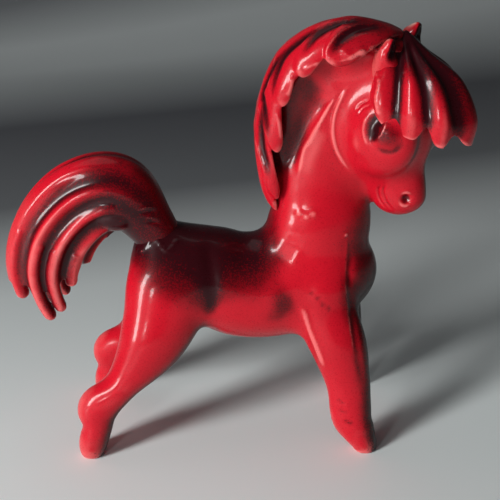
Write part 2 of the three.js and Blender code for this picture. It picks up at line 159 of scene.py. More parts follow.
# ---------------------------------------------------------------- the studio, in metres
SHELF_HALF, WALL_RISE, SHELF_BEND, BEND_SEGMENTS = 1.2, 1.6, 0.5, 24
FADE_ALONG, FADE_START, FADE_STOP = (-0.3, 1, 0), -0.1, 1.1  # the way that the shelf's colour changes
# Shares of that way, with how much of the backdrop's colour shows there
SHELF_FADE = ((0.1, 0.0), (1.0, 1.0), (0.24, 0.25), (0.38, 0.92), (0.56, 1.0), (0.74, 0.5), (0.81, 0.5), (0.9, 0.9))
# Each lamp's width, height, power in watts, and place from what the camera looks at
LAMPS = {
    "window": (0.25, 0.95, 21.5, (-1.05, -0.8, 0.5)),
    "pane": (0.1, 0.16, 1.6, (-0.5, -0.95, 0.19)),
    "overhead": (0.9, 0.9, 1.3, (-0.3, 0.3, 1.3)),
}
ROOM_COLOUR, ROOM_STRENGTH = (0.5, 0.51, 0.53), 0.075


# ---------------------------------------------------------------- drawing and luting clay
def mix(a, b, t):
    """A share t of the way from a to b."""
    return a + (b - a) * t


def ease(x, low, high):
    """From 0 at low to 1 at high, smoothly."""
    x = np.clip((np.asarray(x, float) - low) / (high - low), 0, 1)
    return x * x * (3 - 2 * x)


def unit(rows):
    """The same directions, each one long."""
    return rows / np.maximum(np.linalg.norm(rows, axis=-1, keepdims=True), 1e-9)


def curve(points, t):
    """Points at the shares t of a smooth line through the given ones."""
    points = np.asarray(points, float)
    padded = np.vstack([2 * points[0] - points[1], points, 2 * points[-1] - points[-2]])
    place = np.clip(t, 0, 1) * (len(points) - 1)
    first = np.minimum(place.astype(int), len(points) - 2)
    w = (place - first)[:, None]
    a, b, c, d = (padded[first + k] for k in range(4))
    return 0.5 * (2 * b + (c - a) * w + (2 * a - 5 * b + 4 * c - d) * w**2 + (3 * b - a - 3 * c + d) * w**3)


def heading(points, t):
    """The way a smooth line runs at the shares t."""
    step = 1e-3
    return unit(curve(points, np.clip(t + step, 0, 1)) - curve(points, np.clip(t - step, 0, 1)))


def rounded(turn, t):
    """The section of a plain roll."""
    return np.cos(turn), np.sin(turn)


def moved(verts, places):
    """Moves the vertices to the places."""
    for vert, place in zip(verts, places):
        vert.co = place


def roll(bm, stations, sides=48, rings=64, start=0.08, end=0.08, section=rounded, trail=None, facing=None):
    """A roll of clay along a line. A station is x, y, z, depth, width; the ends are rounded off.

    section(turn, t) gives the outline round the line, trail(turn) how much shorter the far end is at a turn, and
    facing(t) the way the depth points.
    """
    made = bmesh.ops.create_uvsphere(bm, u_segments=sides, v_segments=rings, radius=1)["verts"]
    ball = np.array([v.co for v in made])
    along = np.arccos(np.clip(ball[:, 2], -1, 1)) / math.pi
    turn = np.arctan2(ball[:, 1], ball[:, 0])
    cap = 0.2  # share of the ball that makes each rounded end
    t = mix(start, 1 - end, (along - cap) / (1 - 2 * cap))
    head, foot = np.clip(along / cap, 0, 1) * math.pi / 2, np.clip((1 - along) / cap, 0, 1) * math.pi / 2
    t = np.where(along < cap, start * (1 - np.cos(head)), np.where(along > 1 - cap, 1 - end * (1 - np.cos(foot)), t))
    swell = np.sin(head) * np.sin(foot)
    if trail is not None:
        t = t - mix(trail(turn).mean(), trail(turn), swell) * ease(along, 0.5, 1)
    stations = np.array(stations, float)
    line, girth = stations[:, :3], stations[:, 3:] / 2
    forward = heading(line, t)
    if facing is None:
        across = np.array([0, 1, 0]) - forward * forward[:, 1:2]
    else:
        across = np.cross(facing(t), forward)
    across = unit(across)
    deep = np.cross(forward, across)
    half = curve(girth, t)
    d, w = section(turn, t)
    places = curve(line, t) + deep * (d * half[:, 0] * swell)[:, None] + across * (w * half[:, 1] * swell)[:, None]
    moved(made, places)
    return made


def unrolled(places, stations):
    """How far along a roll's line each place lies, from 0 to 1, and its turn round the line."""
    t = np.linspace(0, 1, 160)
    line, forward = curve(stations[:, :3], t), heading(stations[:, :3], t)
    near = ((places**2).sum(1)[:, None] - 2 * places @ line.T + (line**2).sum(1)).argmin(1)
    across = unit(np.array([0, 1, 0]) - forward * forward[:, 1:2])
    out, half = places - line[near], curve(stations[:, 3:], t)[near] / 2
    deep = np.einsum("ij,ij->i", out, np.cross(forward, across)[near]) / half[:, 0]
    wide = np.einsum("ij,ij->i", out, across[near]) / half[:, 1]
    return t[near], np.arctan2(wide, deep)


def slab(bm, across, along, shape):
    """A slab of clay bent to shape(a, b, outer), with a and b running from 0 to 1 over it."""
    faces = []
    for outer in (True, False):
        made = bmesh.ops.create_grid(bm, x_segments=across, y_segments=along, size=0.5)["verts"]
        flat = np.array([v.co for v in made])
        moved(made, shape(flat[:, 0] + 0.5, flat[:, 1] + 0.5, outer))
        faces.append({f for v in made for f in v.link_faces})
    rims = [e for made in faces for f in made for e in f.edges if e.is_boundary]
    bmesh.ops.bridge_loops(bm, edges=list(set(rims)))


def ball(bm, size, turn, place):
    """A ball of clay with half sizes, turned about the upright by an angle in radians."""
    made = bmesh.ops.create_uvsphere(bm, u_segments=48, v_segments=24, radius=1)["verts"]
    at = np.array([v.co for v in made]) * size
    c, s = math.cos(turn), math.sin(turn)
    at = at @ np.array([[c, s, 0], [-s, c, 0], [0, 0, 1]]) + place
    moved(made, at)
    return made


HEAD_COS, HEAD_SIN = math.cos(math.radians(HEAD_TURN)), math.sin(math.radians(HEAD_TURN))
HEAD_AXES = np.array([[HEAD_COS, -HEAD_SIN, 0], [HEAD_SIN, HEAD_COS, 0], [0, 0, 1]])


def on_head(points):
    """From the head's own frame, with its origin at the poll, to the potter's frame."""
    return np.asarray(points, float) @ HEAD_AXES + (POLL_AHEAD, -POLL_ASIDE, POLL)


def in_head(points):
    """From the potter's frame to the head's own."""
    return (np.asarray(points, float) - (POLL_AHEAD, -POLL_ASIDE, POLL)) @ HEAD_AXES.T


# The photograph's camera in the potter's frame, for placing a detail where the photograph shows it.
PICTURE = 500  # pixels a side
CAMERA_TURN, CAMERA_TILT, CAMERA_DISTANCE = math.radians(-2.5), math.radians(24), 520
CAMERA_LENS, CAMERA_SENSOR = 1060 / PICTURE, 36  # focal length in widths of the picture, and the sensor in mm
CAMERA_CLIP = (0.01, 20)  # metres
CAMERA_TARGET = np.array([-1.5, 0, 96])
CAMERA_BACK = np.array([
    math.sin(CAMERA_TURN) * math.cos(CAMERA_TILT),
    -math.cos(CAMERA_TURN) * math.cos(CAMERA_TILT),
    math.sin(CAMERA_TILT)])
CAMERA_RIGHT = np.array([math.cos(CAMERA_TURN), math.sin(CAMERA_TURN), 0])


def sight(x, y):
    """The camera's place and its line of sight through a point of the picture."""
    across, down = ((at - PICTURE / 2) / PICTURE / CAMERA_LENS for at in (x, y))
    line = -CAMERA_BACK + across * CAMERA_RIGHT - down * np.cross(CAMERA_BACK, CAMERA_RIGHT)
    return Vector(CAMERA_TARGET + CAMERA_BACK * CAMERA_DISTANCE), Vector(line).normalized()


SPOT = np.array([0, 0, 1e-3])  # a path as short as this is one place


class Mark(NamedTuple):
    """A mark of a tool along a smooth line drawn over the picture, in its pixels."""

    line: list
    width: float  # of the tool, in millimetres
    depth: float = 0.0  # of a groove, or of a ridge where it is negative
    pool: float = 0.0  # how dark the glaze is there: where it gathers, and where shade is painted
    thin: float = 0.0  # how pale the glaze is there: where it runs off, and where a highlight is painted
    taper: float = 0.25  # share of the line over which each end fades
    count: int = 24  # places found on the skin along the line
    tool: str = "drag"  # "dab" presses at each place by itself, and "flat" leaves a small flat there


class Skin:
    """The outer skin of luted clay, as one closed surface that can be worked with tools."""

    def __init__(self, name, bm, grain):
        bmesh.ops.recalc_face_normals(bm, faces=bm.faces[:])
        mesh = bpy.data.meshes.new(name)
        bm.to_mesh(mesh)
        bm.free()
        self.piece = bpy.data.objects.new(name, mesh)
        bpy.context.scene.collection.objects.link(self.piece)
        luting = self.piece.modifiers.new("Luting", "REMESH")
        luting.mode = "VOXEL"
        luting.voxel_size = grain / MM
        depsgraph = bpy.context.evaluated_depsgraph_get()
        mesh = bpy.data.meshes.new_from_object(self.piece.evaluated_get(depsgraph))
        self.piece.modifiers.clear()
        self.read(mesh)

    def read(self, mesh):
        """Takes the mesh as the skin, with no glaze on it yet."""
        self.piece.data = mesh
        self.mesh = mesh
        count = len(mesh.vertices)
        self.co = np.zeros(count * 3)
        mesh.vertices.foreach_get("co", self.co)
        self.co = self.co.reshape(-1, 3)
        edges = np.zeros(len(mesh.edges) * 2, int)
        mesh.edges.foreach_get("vertices", edges)
        self.a, self.b = edges.reshape(-1, 2).T
        self.links = np.bincount(self.a, minlength=count) + np.bincount(self.b, minlength=count)
        self.pool = np.zeros(count)
        self.thin = np.zeros(count)

    def refine(self, where):
        """Halves the facets at the places chosen, so that a fine tool marks them cleanly."""
        self.normals()
        bm = bmesh.new()
        bm.from_mesh(self.mesh)
        bm.verts.ensure_lookup_table()
        edges = [edge for edge in bm.edges if where[edge.verts[0].index] and where[edge.verts[1].index]]
        bmesh.ops.subdivide_edges(bm, edges=edges, cuts=1, use_grid_fill=True)
        mesh = bpy.data.meshes.new(self.piece.name)
        bm.to_mesh(mesh)
        bm.free()
        self.read(mesh)

    def around(self, values):
        """Each point's mean over its neighbours."""
        total = np.bincount(self.a, values[self.b], len(values)) + np.bincount(self.b, values[self.a], len(values))
        return total / self.links

    def relaxed(self, points, rounds, share=0.6, weight=1.0):
        """The points after each has moved towards its neighbours' mean a number of times."""
        points = points.copy()
        for _ in range(rounds):
            for axis in range(3):
                points[:, axis] += share * weight * (self.around(points[:, axis]) - points[:, axis])
        return points

    def sponge(self, rounds, weight=1.0):
        """Rubs the skin smooth without shrinking it."""
        for _ in range(rounds):
            self.co = self.relaxed(self.co, 1, 0.6, weight)
            self.co = self.relaxed(self.co, 1, -0.62, weight)

    def fill(self, rounds, weight=1.0):
        """Fills the creases with slip, wiped smooth, and leaves the ridges."""
        for done in range(rounds):
            if done % 8 == 0:
                normals = self.normals()
            drift = np.column_stack([self.around(self.co[:, axis]) for axis in range(3)]) - self.co
            hollow = np.einsum("ij,ij->i", drift, normals) > 0
            self.co += 0.7 * drift * (hollow * weight)[:, None]

    def normals(self):
        """Puts the points into the mesh, and gives the way out of the skin at each."""
        self.mesh.vertices.foreach_set("co", self.co.ravel())
        self.mesh.update()
        found = np.zeros(len(self.co) * 3)
        self.mesh.vertex_normals.foreach_get("vector", found)
        return found.reshape(-1, 3)

    def clay(self):
        """The skin as a bmesh, so that more clay can be luted on."""
        self.normals()
        bm = bmesh.new()
        bm.from_mesh(self.mesh)
        bpy.data.objects.remove(self.piece)
        return bm

    def feel(self):
        """Readies the skin for places to be found on it."""
        polygons = np.zeros(len(self.mesh.loops), int)
        self.mesh.loops.foreach_get("vertex_index", polygons)
        sizes = np.zeros(len(self.mesh.polygons), int)
        self.mesh.polygons.foreach_get("loop_total", sizes)
        faces = [face.tolist() for face in np.split(polygons, np.cumsum(sizes)[:-1])]
        self.felt = BVHTree.FromPolygons(self.co.tolist(), faces)

    def seen(self, line, count=24):
        """The places on the skin under a smooth line drawn over the picture; one point gives one place."""
        line = np.array(line, float)
        points = curve(line, np.linspace(0, 1, count)) if len(line) > 1 else line
        hits = [self.felt.ray_cast(*sight(x, y))[0] for x, y in points]
        return np.array([hit for hit in hits if hit is not None]).reshape(-1, 3)

    def behind(self, places, head=False):
        """The same places on the far side of the body, or of the head."""
        other = on_head(in_head(places) * (1, -1, 1)) if head else places * (1, -1, 1)
        return np.array([self.felt.find_nearest(Vector(place))[0] for place in other]).reshape(-1, 3)

    def near(self, path, reach):
        """Indices of the points within reach of a path, their distances and shares along it."""
        path = np.asarray(path, float)
        low, high = path.min(0) - reach, path.max(0) + reach
        index = np.flatnonzero(np.all((self.co > low) & (self.co < high), axis=1))
        best = np.full(len(index), 1e9)
        share = np.zeros(len(index))
        spans = np.linalg.norm(np.diff(path, axis=0), axis=1)
        done, whole = 0.0, max(spans.sum(), 1e-9)
        for start, stop, span in zip(path[:-1], path[1:], spans):
            step = stop - start
            along = np.clip(((self.co[index] - start) @ step) / max(span**2, 1e-9), 0, 1)
            away = np.linalg.norm(self.co[index] - start - along[:, None] * step, axis=1)
            closer = away < best
            best[closer] = away[closer]
            share[closer] = ((done + along * span) / whole)[closer]
            done += span
        keep = best < reach
        return index[keep], best[keep], share[keep]

    def stroke(self, path, width, depth, pool=0.0, thin=0.0, taper=0.25):
        """Draws a tool along a path. A positive depth cuts a groove and a negative one raises a ridge."""
        if not len(path):
            return
        index, away, share = self.near(path, 3 * width)
        normals = self.normals()[index]
        ends = ease(share, 0, taper) * ease(1 - share, 0, taper) if taper else 1.0
        soft = np.exp(-((away / width) ** 2)) * ends
        self.co[index] -= normals * (depth * soft)[:, None]
        self.pool[index] += pool * soft
        self.thin[index] += thin * soft

    def press(self, place, width, depth, pool=0.0, thin=0.0):
        """Presses a thumb into the skin at one place, or raises a bump there if the depth is negative."""
        self.stroke([place, place + SPOT], width, depth, pool, thin, taper=0)

    def flatten(self, place, width):
        """Presses a small flat into the skin."""
        index, away, _ = self.near([place, place + SPOT], 2.5 * width)
        soft = np.exp(-((away / width) ** 4))
        normal = unit((self.normals()[index] * soft[:, None]).sum(0))
        self.co[index] -= ((self.co[index] - place) @ normal * soft)[:, None] * normal

    def work(self, marks, head=False):
        """Makes the marks on the side that the picture shows, and then across from them on the far side."""
        for far in (False, True):
            for mark in marks:
                places = self.seen(mark.line, mark.count)
                if far:
                    places = self.behind(places, head)
                if mark.tool == "drag":
                    self.stroke(places, mark.width, mark.depth, mark.pool, mark.thin, mark.taper)
                    continue
                for place in places:
                    if mark.tool == "dab":
                        self.press(place, mark.width, mark.depth, mark.pool, mark.thin)
                    else:
                        self.flatten(place, mark.width)

    def cavity(self, rounds):
        """How deep each point lies under the skin around it, in millimetres; ridges are negative."""
        return np.einsum("ij,ij->i", self.relaxed(self.co, rounds, 0.8) - self.co, self.normals())

    def glazed(self, pool, thin):
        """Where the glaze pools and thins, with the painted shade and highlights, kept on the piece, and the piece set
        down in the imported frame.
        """
        self.normals()
        for name, values in (("pool", self.pool + pool), ("thin", self.thin + thin)):
            kept = self.mesh.attributes.new(name, "FLOAT", "POINT")
            kept.data.foreach_set("value", np.clip(values, 0, 1.5).astype(np.float32))
        places = self.co * MM + np.array(SHELF_ORIGIN)
        places[:, 2] = np.maximum(places[:, 2], 0)
        self.mesh.vertices.foreach_set("co", places.ravel())
        self.mesh.shade_smooth()
        self.mesh.update()
        return self.piece


# ---------------------------------------------------------------- the pieces in wet clay
def lay_trunk(bm):
    """The barrel, the rump and the chest."""
    half = TRUNK_LENGTH / 2
    roll(bm, [
        (-half * 1.02, 0, BARREL_HEIGHT + RUMP_RISE, RUMP_DEPTH * 0.9, RUMP_WIDTH * 0.8),
        (-half * 0.66, 0, BARREL_HEIGHT + RUMP_RISE, RUMP_DEPTH, RUMP_WIDTH),
        (-half * 0.34, 0, BARREL_HEIGHT + RUMP_RISE * 0.5, mix(RUMP_DEPTH, BARREL_DEPTH, 0.6), BARREL_WIDTH),
        (-half * 0.1, 0, BARREL_HEIGHT, BARREL_DEPTH, BARREL_WIDTH),
        (half * 0.2, 0, BARREL_HEIGHT, BARREL_DEPTH, BARREL_WIDTH),
        (half * 0.55, 0, BARREL_HEIGHT + CHEST_RISE * 0.7, CHEST_DEPTH, CHEST_WIDTH),
        (half * 1.02, 0, BARREL_HEIGHT + CHEST_RISE, CHEST_DEPTH * 0.9, CHEST_WIDTH * 0.9),
    ], sides=96, rings=100, start=0.12, end=0.16)


def lay_stump(bm):
    """The root on the rump that the tail is luted to."""
    place = tail_line()
    roll(bm, [
        (*place[0, :3] - (0, 0, TAIL_RISE * 0.4), TAIL_DEPTH * 0.9, TAIL_WIDTH * 1.15),
        (*place[0, :3] + (0, 0, TAIL_RISE * 0.1), TAIL_DEPTH * 0.68, TAIL_WIDTH * 0.95),
        (*mix(place[0, :3], place[1, :3], 0.75), TAIL_DEPTH * 0.5, TAIL_WIDTH * 0.72),
        (*mix(place[0, :3], place[1, :3], 1.1), TAIL_DEPTH * 0.4, TAIL_WIDTH * 0.6)], sides=64, rings=64)


def lay_neck(bm):
    """The neck, and its narrow back under the mane."""
    roll(bm, [
        (POLL_AHEAD * 0.41, 0, BARREL_HEIGHT + NECK_HEIGHT * 0.07, NECK_DEPTH * 1.28, NECK_WIDTH * 1.35),
        (POLL_AHEAD * 0.49, 0, BARREL_HEIGHT + NECK_HEIGHT * 0.28, NECK_DEPTH * 1.25, NECK_WIDTH * 1.25),
        (POLL_AHEAD * 0.5, 0, BARREL_HEIGHT + NECK_HEIGHT * 0.44, NECK_DEPTH * 1.07, NECK_WIDTH),
        (POLL_AHEAD * 0.52, -POLL_ASIDE * 0.1, BARREL_HEIGHT + NECK_HEIGHT * 0.6,
         NECK_DEPTH * 1.01, NECK_WIDTH * 0.84),
        (POLL_AHEAD * 0.64, -POLL_ASIDE * 0.4, POLL - NECK_HEIGHT * 0.2, NECK_DEPTH * 0.95, NECK_WIDTH * 0.74),
        (POLL_AHEAD * 0.86, -POLL_ASIDE * 0.8, POLL - NECK_HEIGHT * 0.12, NECK_DEPTH * 0.8, NECK_WIDTH * 0.74),
        (POLL_AHEAD, -POLL_ASIDE, POLL - NECK_HEIGHT * 0.07, NECK_DEPTH * 0.5, NECK_WIDTH * 0.65),
    ], sides=80, rings=100)
    under = np.linspace(0.04, 0.92, 8)
    places = curve(CREST, under) - crest_normal(under) * (MANE_WALL + WEB_SEAT + WEB_DEPTH / 2)
    width = WEB_WIDTH * mix(0.4, 1, under**1.5)
    roll(bm, np.column_stack([places, np.full(8, WEB_DEPTH), width]), sides=48, rings=100)


def lay_head(bm):
    """The skull and the muzzle, with a ball for each cheek."""
    jaw = (mix(MUZZLE_DEPTH, CHEEK_DEPTH, 0.25), mix(MUZZLE_WIDTH, CHEEK_WIDTH, 0.25))
    made = roll(bm, [
        (-HEAD_LENGTH * 0.076, 0, 0, CHEEK_DEPTH * 0.5, CHEEK_WIDTH * 0.55),
        (-HEAD_LENGTH * 0.063, 0, -HEAD_LENGTH * 0.2, CHEEK_DEPTH * 0.84, CHEEK_WIDTH * 0.75),
        (-HEAD_LENGTH * 0.032, 0, -HEAD_LENGTH * CHEEK_SHARE, CHEEK_DEPTH, CHEEK_WIDTH * 0.84),
        (-HEAD_LENGTH * 0.013, 0, -HEAD_LENGTH * 0.7, *jaw),
        (HEAD_LENGTH * 0.025, 0, -HEAD_LENGTH * 0.85, MUZZLE_DEPTH, MUZZLE_WIDTH),
        (HEAD_LENGTH * 0.055, 0, -HEAD_LENGTH, MUZZLE_DEPTH * 0.9, MUZZLE_WIDTH * 0.9),
    ], sides=80, rings=90, start=0.1, end=0.14)
    for side in (-1, 1):
        made += ball(bm, (CHEEK_DEPTH * 0.53, CHEEK_WIDTH * 0.26, CHEEK_DEPTH * 0.53), side * 0.16,
                     (-CHEEK_DEPTH * 0.13, side * CHEEK_WIDTH * 0.26, -HEAD_LENGTH * CHEEK_SHARE))
    moved(made, on_head([v.co for v in made]))


def lay_hind_leg(bm, side):
    """A leg from the hip to the hoof, on the right where side is -1."""
    hip = -HIPS_BEHIND + HIND_LEAD * (side > 0)

    def out(share):
        return side * mix(RUMP_WIDTH / 4, HIND_STANCE / 2, share)

    roll(bm, [
        (hip + THIGH_DEPTH * 0.08, out(0), BARREL_HEIGHT + RUMP_RISE * 1.7, THIGH_DEPTH * 0.9, THIGH_WIDTH * 0.9),
        (hip + THIGH_DEPTH * 0.01, out(0.12), BARREL_HEIGHT + RUMP_RISE * 0.4, THIGH_DEPTH, THIGH_WIDTH),
        (hip - HIND_REACH * 0.2, out(0.5), BARREL_HEIGHT * 0.75, THIGH_DEPTH * 0.75, THIGH_WIDTH * 0.88),
        (hip - HIND_REACH * 0.58, out(0.8), BARREL_HEIGHT * 0.48, GASKIN_DEPTH * 0.68, SHANK_WIDTH * 1.15),
        (hip - HIND_REACH * 0.86, out(0.92), BARREL_HEIGHT * 0.34, HOCK_DEPTH * 1.02, SHANK_WIDTH),
        (hip - HIND_REACH * 0.88, out(0.97), BARREL_HEIGHT * 0.22, HOOF_LENGTH * 1.24, SHANK_WIDTH * 0.9),
        (hip - HIND_REACH * 0.95, out(1), BARREL_HEIGHT * 0.09, HOOF_LENGTH * 1.2, HOOF_WIDTH * 1.1),
        (hip - HIND_REACH, out(1), -HOOF_LENGTH / 4, HOOF_LENGTH * 0.8, HOOF_WIDTH * 0.8),
    ], sides=64, rings=100)


def lay_front_leg(bm, side):
    """A leg from the shoulder to the hoof, on the right where side is -1."""
    shoulder = SHOULDERS_AHEAD + FRONT_LEAD * (side > 0)

    def out(share):
        return side * mix(CHEST_WIDTH / 4, FRONT_STANCE / 2, share)

    roll(bm, [
        (shoulder - FRONT_REACH * 0.1, out(0), BARREL_HEIGHT + CHEST_RISE * 1.6, ARM_DEPTH * 1.3, ARM_WIDTH * 1.1),
        (shoulder + FRONT_REACH * 0.02, out(0.2), BARREL_HEIGHT * 0.92, ARM_DEPTH * 1.12, ARM_WIDTH),
        (shoulder + FRONT_REACH * 0.36, out(0.55), BARREL_HEIGHT * 0.68, ARM_DEPTH * 0.98, ARM_WIDTH * 0.85),
        (shoulder + FRONT_REACH * 0.58, out(0.74), BARREL_HEIGHT * 0.45, KNEE_DEPTH * 1.02, SHANK_WIDTH),
        (shoulder + FRONT_REACH * 0.67, out(0.86), BARREL_HEIGHT * 0.23, KNEE_DEPTH * 0.95, SHANK_WIDTH * 0.95),
        (shoulder + FRONT_REACH * 0.84, out(0.95), BARREL_HEIGHT * 0.13, HOOF_LENGTH * 1.4, HOOF_WIDTH * 1.15),
        (shoulder + FRONT_REACH, out(1), BARREL_HEIGHT * 0.04, HOOF_LENGTH * 1.05, HOOF_WIDTH),
        (shoulder + FRONT_REACH * 1.05, out(1), -HOOF_LENGTH / 3, HOOF_LENGTH * 0.8, HOOF_WIDTH * 0.8),
    ], sides=64, rings=100)


CREST = np.array([
    (POLL_AHEAD * 0.23, 0, BARREL_HEIGHT + NECK_HEIGHT * 0.23),
    (POLL_AHEAD * 0.06, 0, BARREL_HEIGHT + NECK_HEIGHT * 0.39),
    (0, 0, BARREL_HEIGHT + NECK_HEIGHT * 0.6),
    (POLL_AHEAD * 0.03, 0, BARREL_HEIGHT + NECK_HEIGHT * 0.785),
    (POLL_AHEAD * 0.152, -POLL_ASIDE * 0.2, BARREL_HEIGHT + NECK_HEIGHT * 0.95),
    (POLL_AHEAD * 0.384, -POLL_ASIDE * 0.5, POLL + NECK_HEIGHT * 0.06),
    (POLL_AHEAD * 0.64, -POLL_ASIDE * 0.8, POLL + NECK_HEIGHT * 0.1),
    (POLL_AHEAD * 0.88, -POLL_ASIDE, POLL + NECK_HEIGHT * 0.085),
    (POLL_AHEAD * 1.04, -POLL_ASIDE, POLL + NECK_HEIGHT * 0.05)])


def crest_normal(b):
    """The way out of the crest at the shares b of its length."""
    forward = heading(CREST, b)
    return np.stack([-forward[:, 2], np.zeros(len(b)), forward[:, 0]], 1)


def lay_mane(bm):
    """A thin roof over the crest, with six locks a side on it."""

    def taper(b):
        return np.sqrt(np.sin(math.pi * mix(0.03, 0.9, b)))

    def face(b, side, depth):
        drop = mix(MANE_TAIL_DROP, MANE_DROP, b) * taper(b)
        lift = (drop - depth) * np.cos(MANE_CURL * side) - drop
        aside = (MANE_WIDTH / 2 * taper(b) - depth) * np.sin(MANE_CURL * side)
        return curve(CREST, b) + crest_normal(b) * lift[:, None] + np.stack([0 * b, aside, 0 * b], 1)

    def strand(side, tip, edge, wide):
        bow = 1 + 5 * (1 - tip) ** 2  # a lock that ends low keeps to the crest for longer

        def at(t):
            return mix(0.98, tip, t)

        def facing(t):
            tilt = MANE_CURL * side * edge * t**bow
            return crest_normal(at(t)) * np.cos(tilt)[:, None] + np.stack([0 * t, np.sin(tilt), 0 * t], 1)

        t = np.linspace(0, 1, 13)
        width = wide * mix(0.5, 1.2, ease(t, 0, 0.6)) * mix(1, 0.4, t**6)
        depth = MANE_LOCK_DEPTH * 0.8 * mix(0.8, 1, ease(t, 0, 0.5)) * mix(1, 0.6, t**3)
        places = face(at(t), side * edge * t**bow, MANE_LOCK_DEPTH * 0.4)
        roll(bm, np.column_stack([places, depth, width]), sides=24, rings=90, end=0.05, facing=facing)

    def roof(a, b, outer):
        side = 2 * a - 1
        depth = np.full(len(a), ROOF_OUTSIDE) if outer else MANE_WALL * mix(1, 0.5, side**2) + ROOF_INSIDE
        return face(b, side * 0.72, depth)

    slab(bm, 60, 90, roof)
    for tip, edge, wide in MANE_TIPS:
        strand(-1, tip, edge, wide)
        strand(1, tip, edge, wide)


def forelock_hair(turn):
    """One on the crown of each lock of the fringe and nothing in the grooves between them."""
    return np.sin(math.pi * np.interp(turn, np.radians(FORELOCK_PARTS), np.arange(len(FORELOCK_PARTS)))) ** 2


def lay_forelock(bm):
    """A visor of clay round the poll, whose outside is grooved into locks."""
    count = len(FORELOCK_PARTS) - 1

    def visor(a, b, outer):
        turn = np.radians(np.interp(a * count, np.arange(count + 1), FORELOCK_PARTS))
        hair = forelock_hair(turn)
        notch = np.interp(a * count, np.arange(count + 1), FORELOCK_NOTCHES)
        thick = (1 - hair) * FORELOCK_RELIEF * ease(b, 0.05, 0.5) if outer else FORELOCK_WALL * mix(1, 0.5, b**4)
        reach = 1 / np.hypot(np.cos(turn) / FORELOCK_REACH, np.sin(turn) / FORELOCK_SPREAD)
        ahead, down = curve(FORELOCK_LINE, b * (1 - notch * (1 - hair) ** 1.3)).T
        low_lock = LOW_LOCK_DROP * np.exp(-((turn - LOW_LOCK_TURN) / LOW_LOCK_SPREAD) ** 2)
        drop = FORELOCK_DROP * mix(0.45, 1, np.cos(turn / 2) ** 2) * (1 + low_lock)
        return on_head(np.stack([
            (reach - thick) * ahead * np.cos(turn),
            (reach - thick) * ahead * np.sin(turn),
            FORELOCK_RISE - thick - (drop - thick) * down], 1))

    slab(bm, 30 * count, 90, visor)


def tail_ridge(turn):
    """One on the crown of each lock and nothing in the valleys between them."""
    turn = np.degrees(np.abs(turn))
    lock = np.interp(np.minimum(turn, TAIL_CROWNS[-1]), TAIL_PARTS, np.arange(len(TAIL_PARTS)))
    seam = TAIL_SEAM_DEPTH * np.exp(-(((180 - turn) / TAIL_SEAM_WIDTH) ** 2))
    return np.sin(math.pi * lock) ** 2 * (1 - seam)


def tail_line():
    """The tail's stations, from inside the rump to the tips."""
    x, z = -HIPS_BEHIND - TAIL_BEHIND, BARREL_HEIGHT + RUMP_RISE + RUMP_DEPTH * 0.32
    top = z + TAIL_RISE
    return np.array([
        (x + TAIL_REACH * 0.12, 0, z - TAIL_RISE * 0.75, TAIL_DEPTH * 0.45, TAIL_WIDTH * 0.7),
        (x - TAIL_REACH * 0.11, 0, top - TAIL_RISE * 0.66, TAIL_DEPTH * 0.56, TAIL_WIDTH * 0.75),
        (x - TAIL_REACH * 0.36, 0, top, TAIL_DEPTH * 0.86, TAIL_WIDTH),
        (x - TAIL_REACH * 0.64, 0, top - TAIL_FALL * 0.05, TAIL_DEPTH * 0.98, TAIL_WIDTH),
        (x - TAIL_REACH * 0.88, 0, top - TAIL_FALL * 0.26, TAIL_DEPTH, TAIL_WIDTH),
        (x - TAIL_REACH * 0.99, 0, top - TAIL_FALL * 0.52, TAIL_DEPTH * 0.97, TAIL_WIDTH * 0.95),
        (x - TAIL_REACH * 0.965, 0, top - TAIL_FALL * 0.77, TAIL_DEPTH * 0.86, TAIL_WIDTH * 0.85),
        (x - TAIL_REACH * 0.86, 0, top - TAIL_FALL, TAIL_DEPTH * 0.7, TAIL_WIDTH * 0.7)])


def tail_side(t, turn):
    """The tail's line at t, and how far out its skin lies from there at a turn round it."""
    stations = tail_line()
    forward = heading(stations[:, :3], t)
    across = unit(np.array([0, 1, 0]) - forward * forward[:, 1:2])
    half = curve(stations[:, 3:], t) / 2
    deep = np.cross(forward, across)
    return curve(stations[:, :3], t), deep * math.cos(turn) * half[:, :1] + across * math.sin(turn) * half[:, 1:]


def lay_tail(bm):
    """One roll grooved into locks, with slip in its bend and the end of each lock laid on by itself."""
    def locks(turn, t):
        relief = TAIL_RELIEF * (1 - tail_ridge(turn) ** 1.4) * ease(t, 0.18, 0.5)
        return np.cos(turn) * (1 - 2 * relief / TAIL_DEPTH), np.sin(turn) * (1 - 2 * relief / TAIL_WIDTH)

    def tips(turn):
        return np.interp(np.degrees(np.abs(turn)), TAIL_CROWNS, TAIL_ENDS) + 0.05 + 0.05 * (1 - tail_ridge(turn))

    roll(bm, tail_line(), sides=200, rings=220, section=locks, end=0.09, trail=tips)
    ball(bm, BEND_SLIP, 0.2, tail_line()[1, :3] + (-TAIL_REACH * 0.28, 0, TAIL_RISE * 0.33))
    for crown, end in zip(TAIL_CROWNS[1:], TAIL_ENDS[1:]):
        for side in (-1, 1):
            turn = side * math.radians(crown)

            def at(t):
                return mix(0.6, 1 - end, t)

            def facing(t):
                return unit(tail_side(at(t), turn)[1])

            t = np.linspace(0, 1, 9)
            line, out = tail_side(at(t), turn)
            places = line + out * (1 - LOCK_TIP_SINK / np.linalg.norm(out, axis=1))[:, None]
            stations = np.column_stack([places, 0 * t + LOCK_TIP_DEPTH, mix(*LOCK_TIP_WIDTHS, t)])
            roll(bm, stations, sides=32, rings=60, end=0.1, facing=facing)


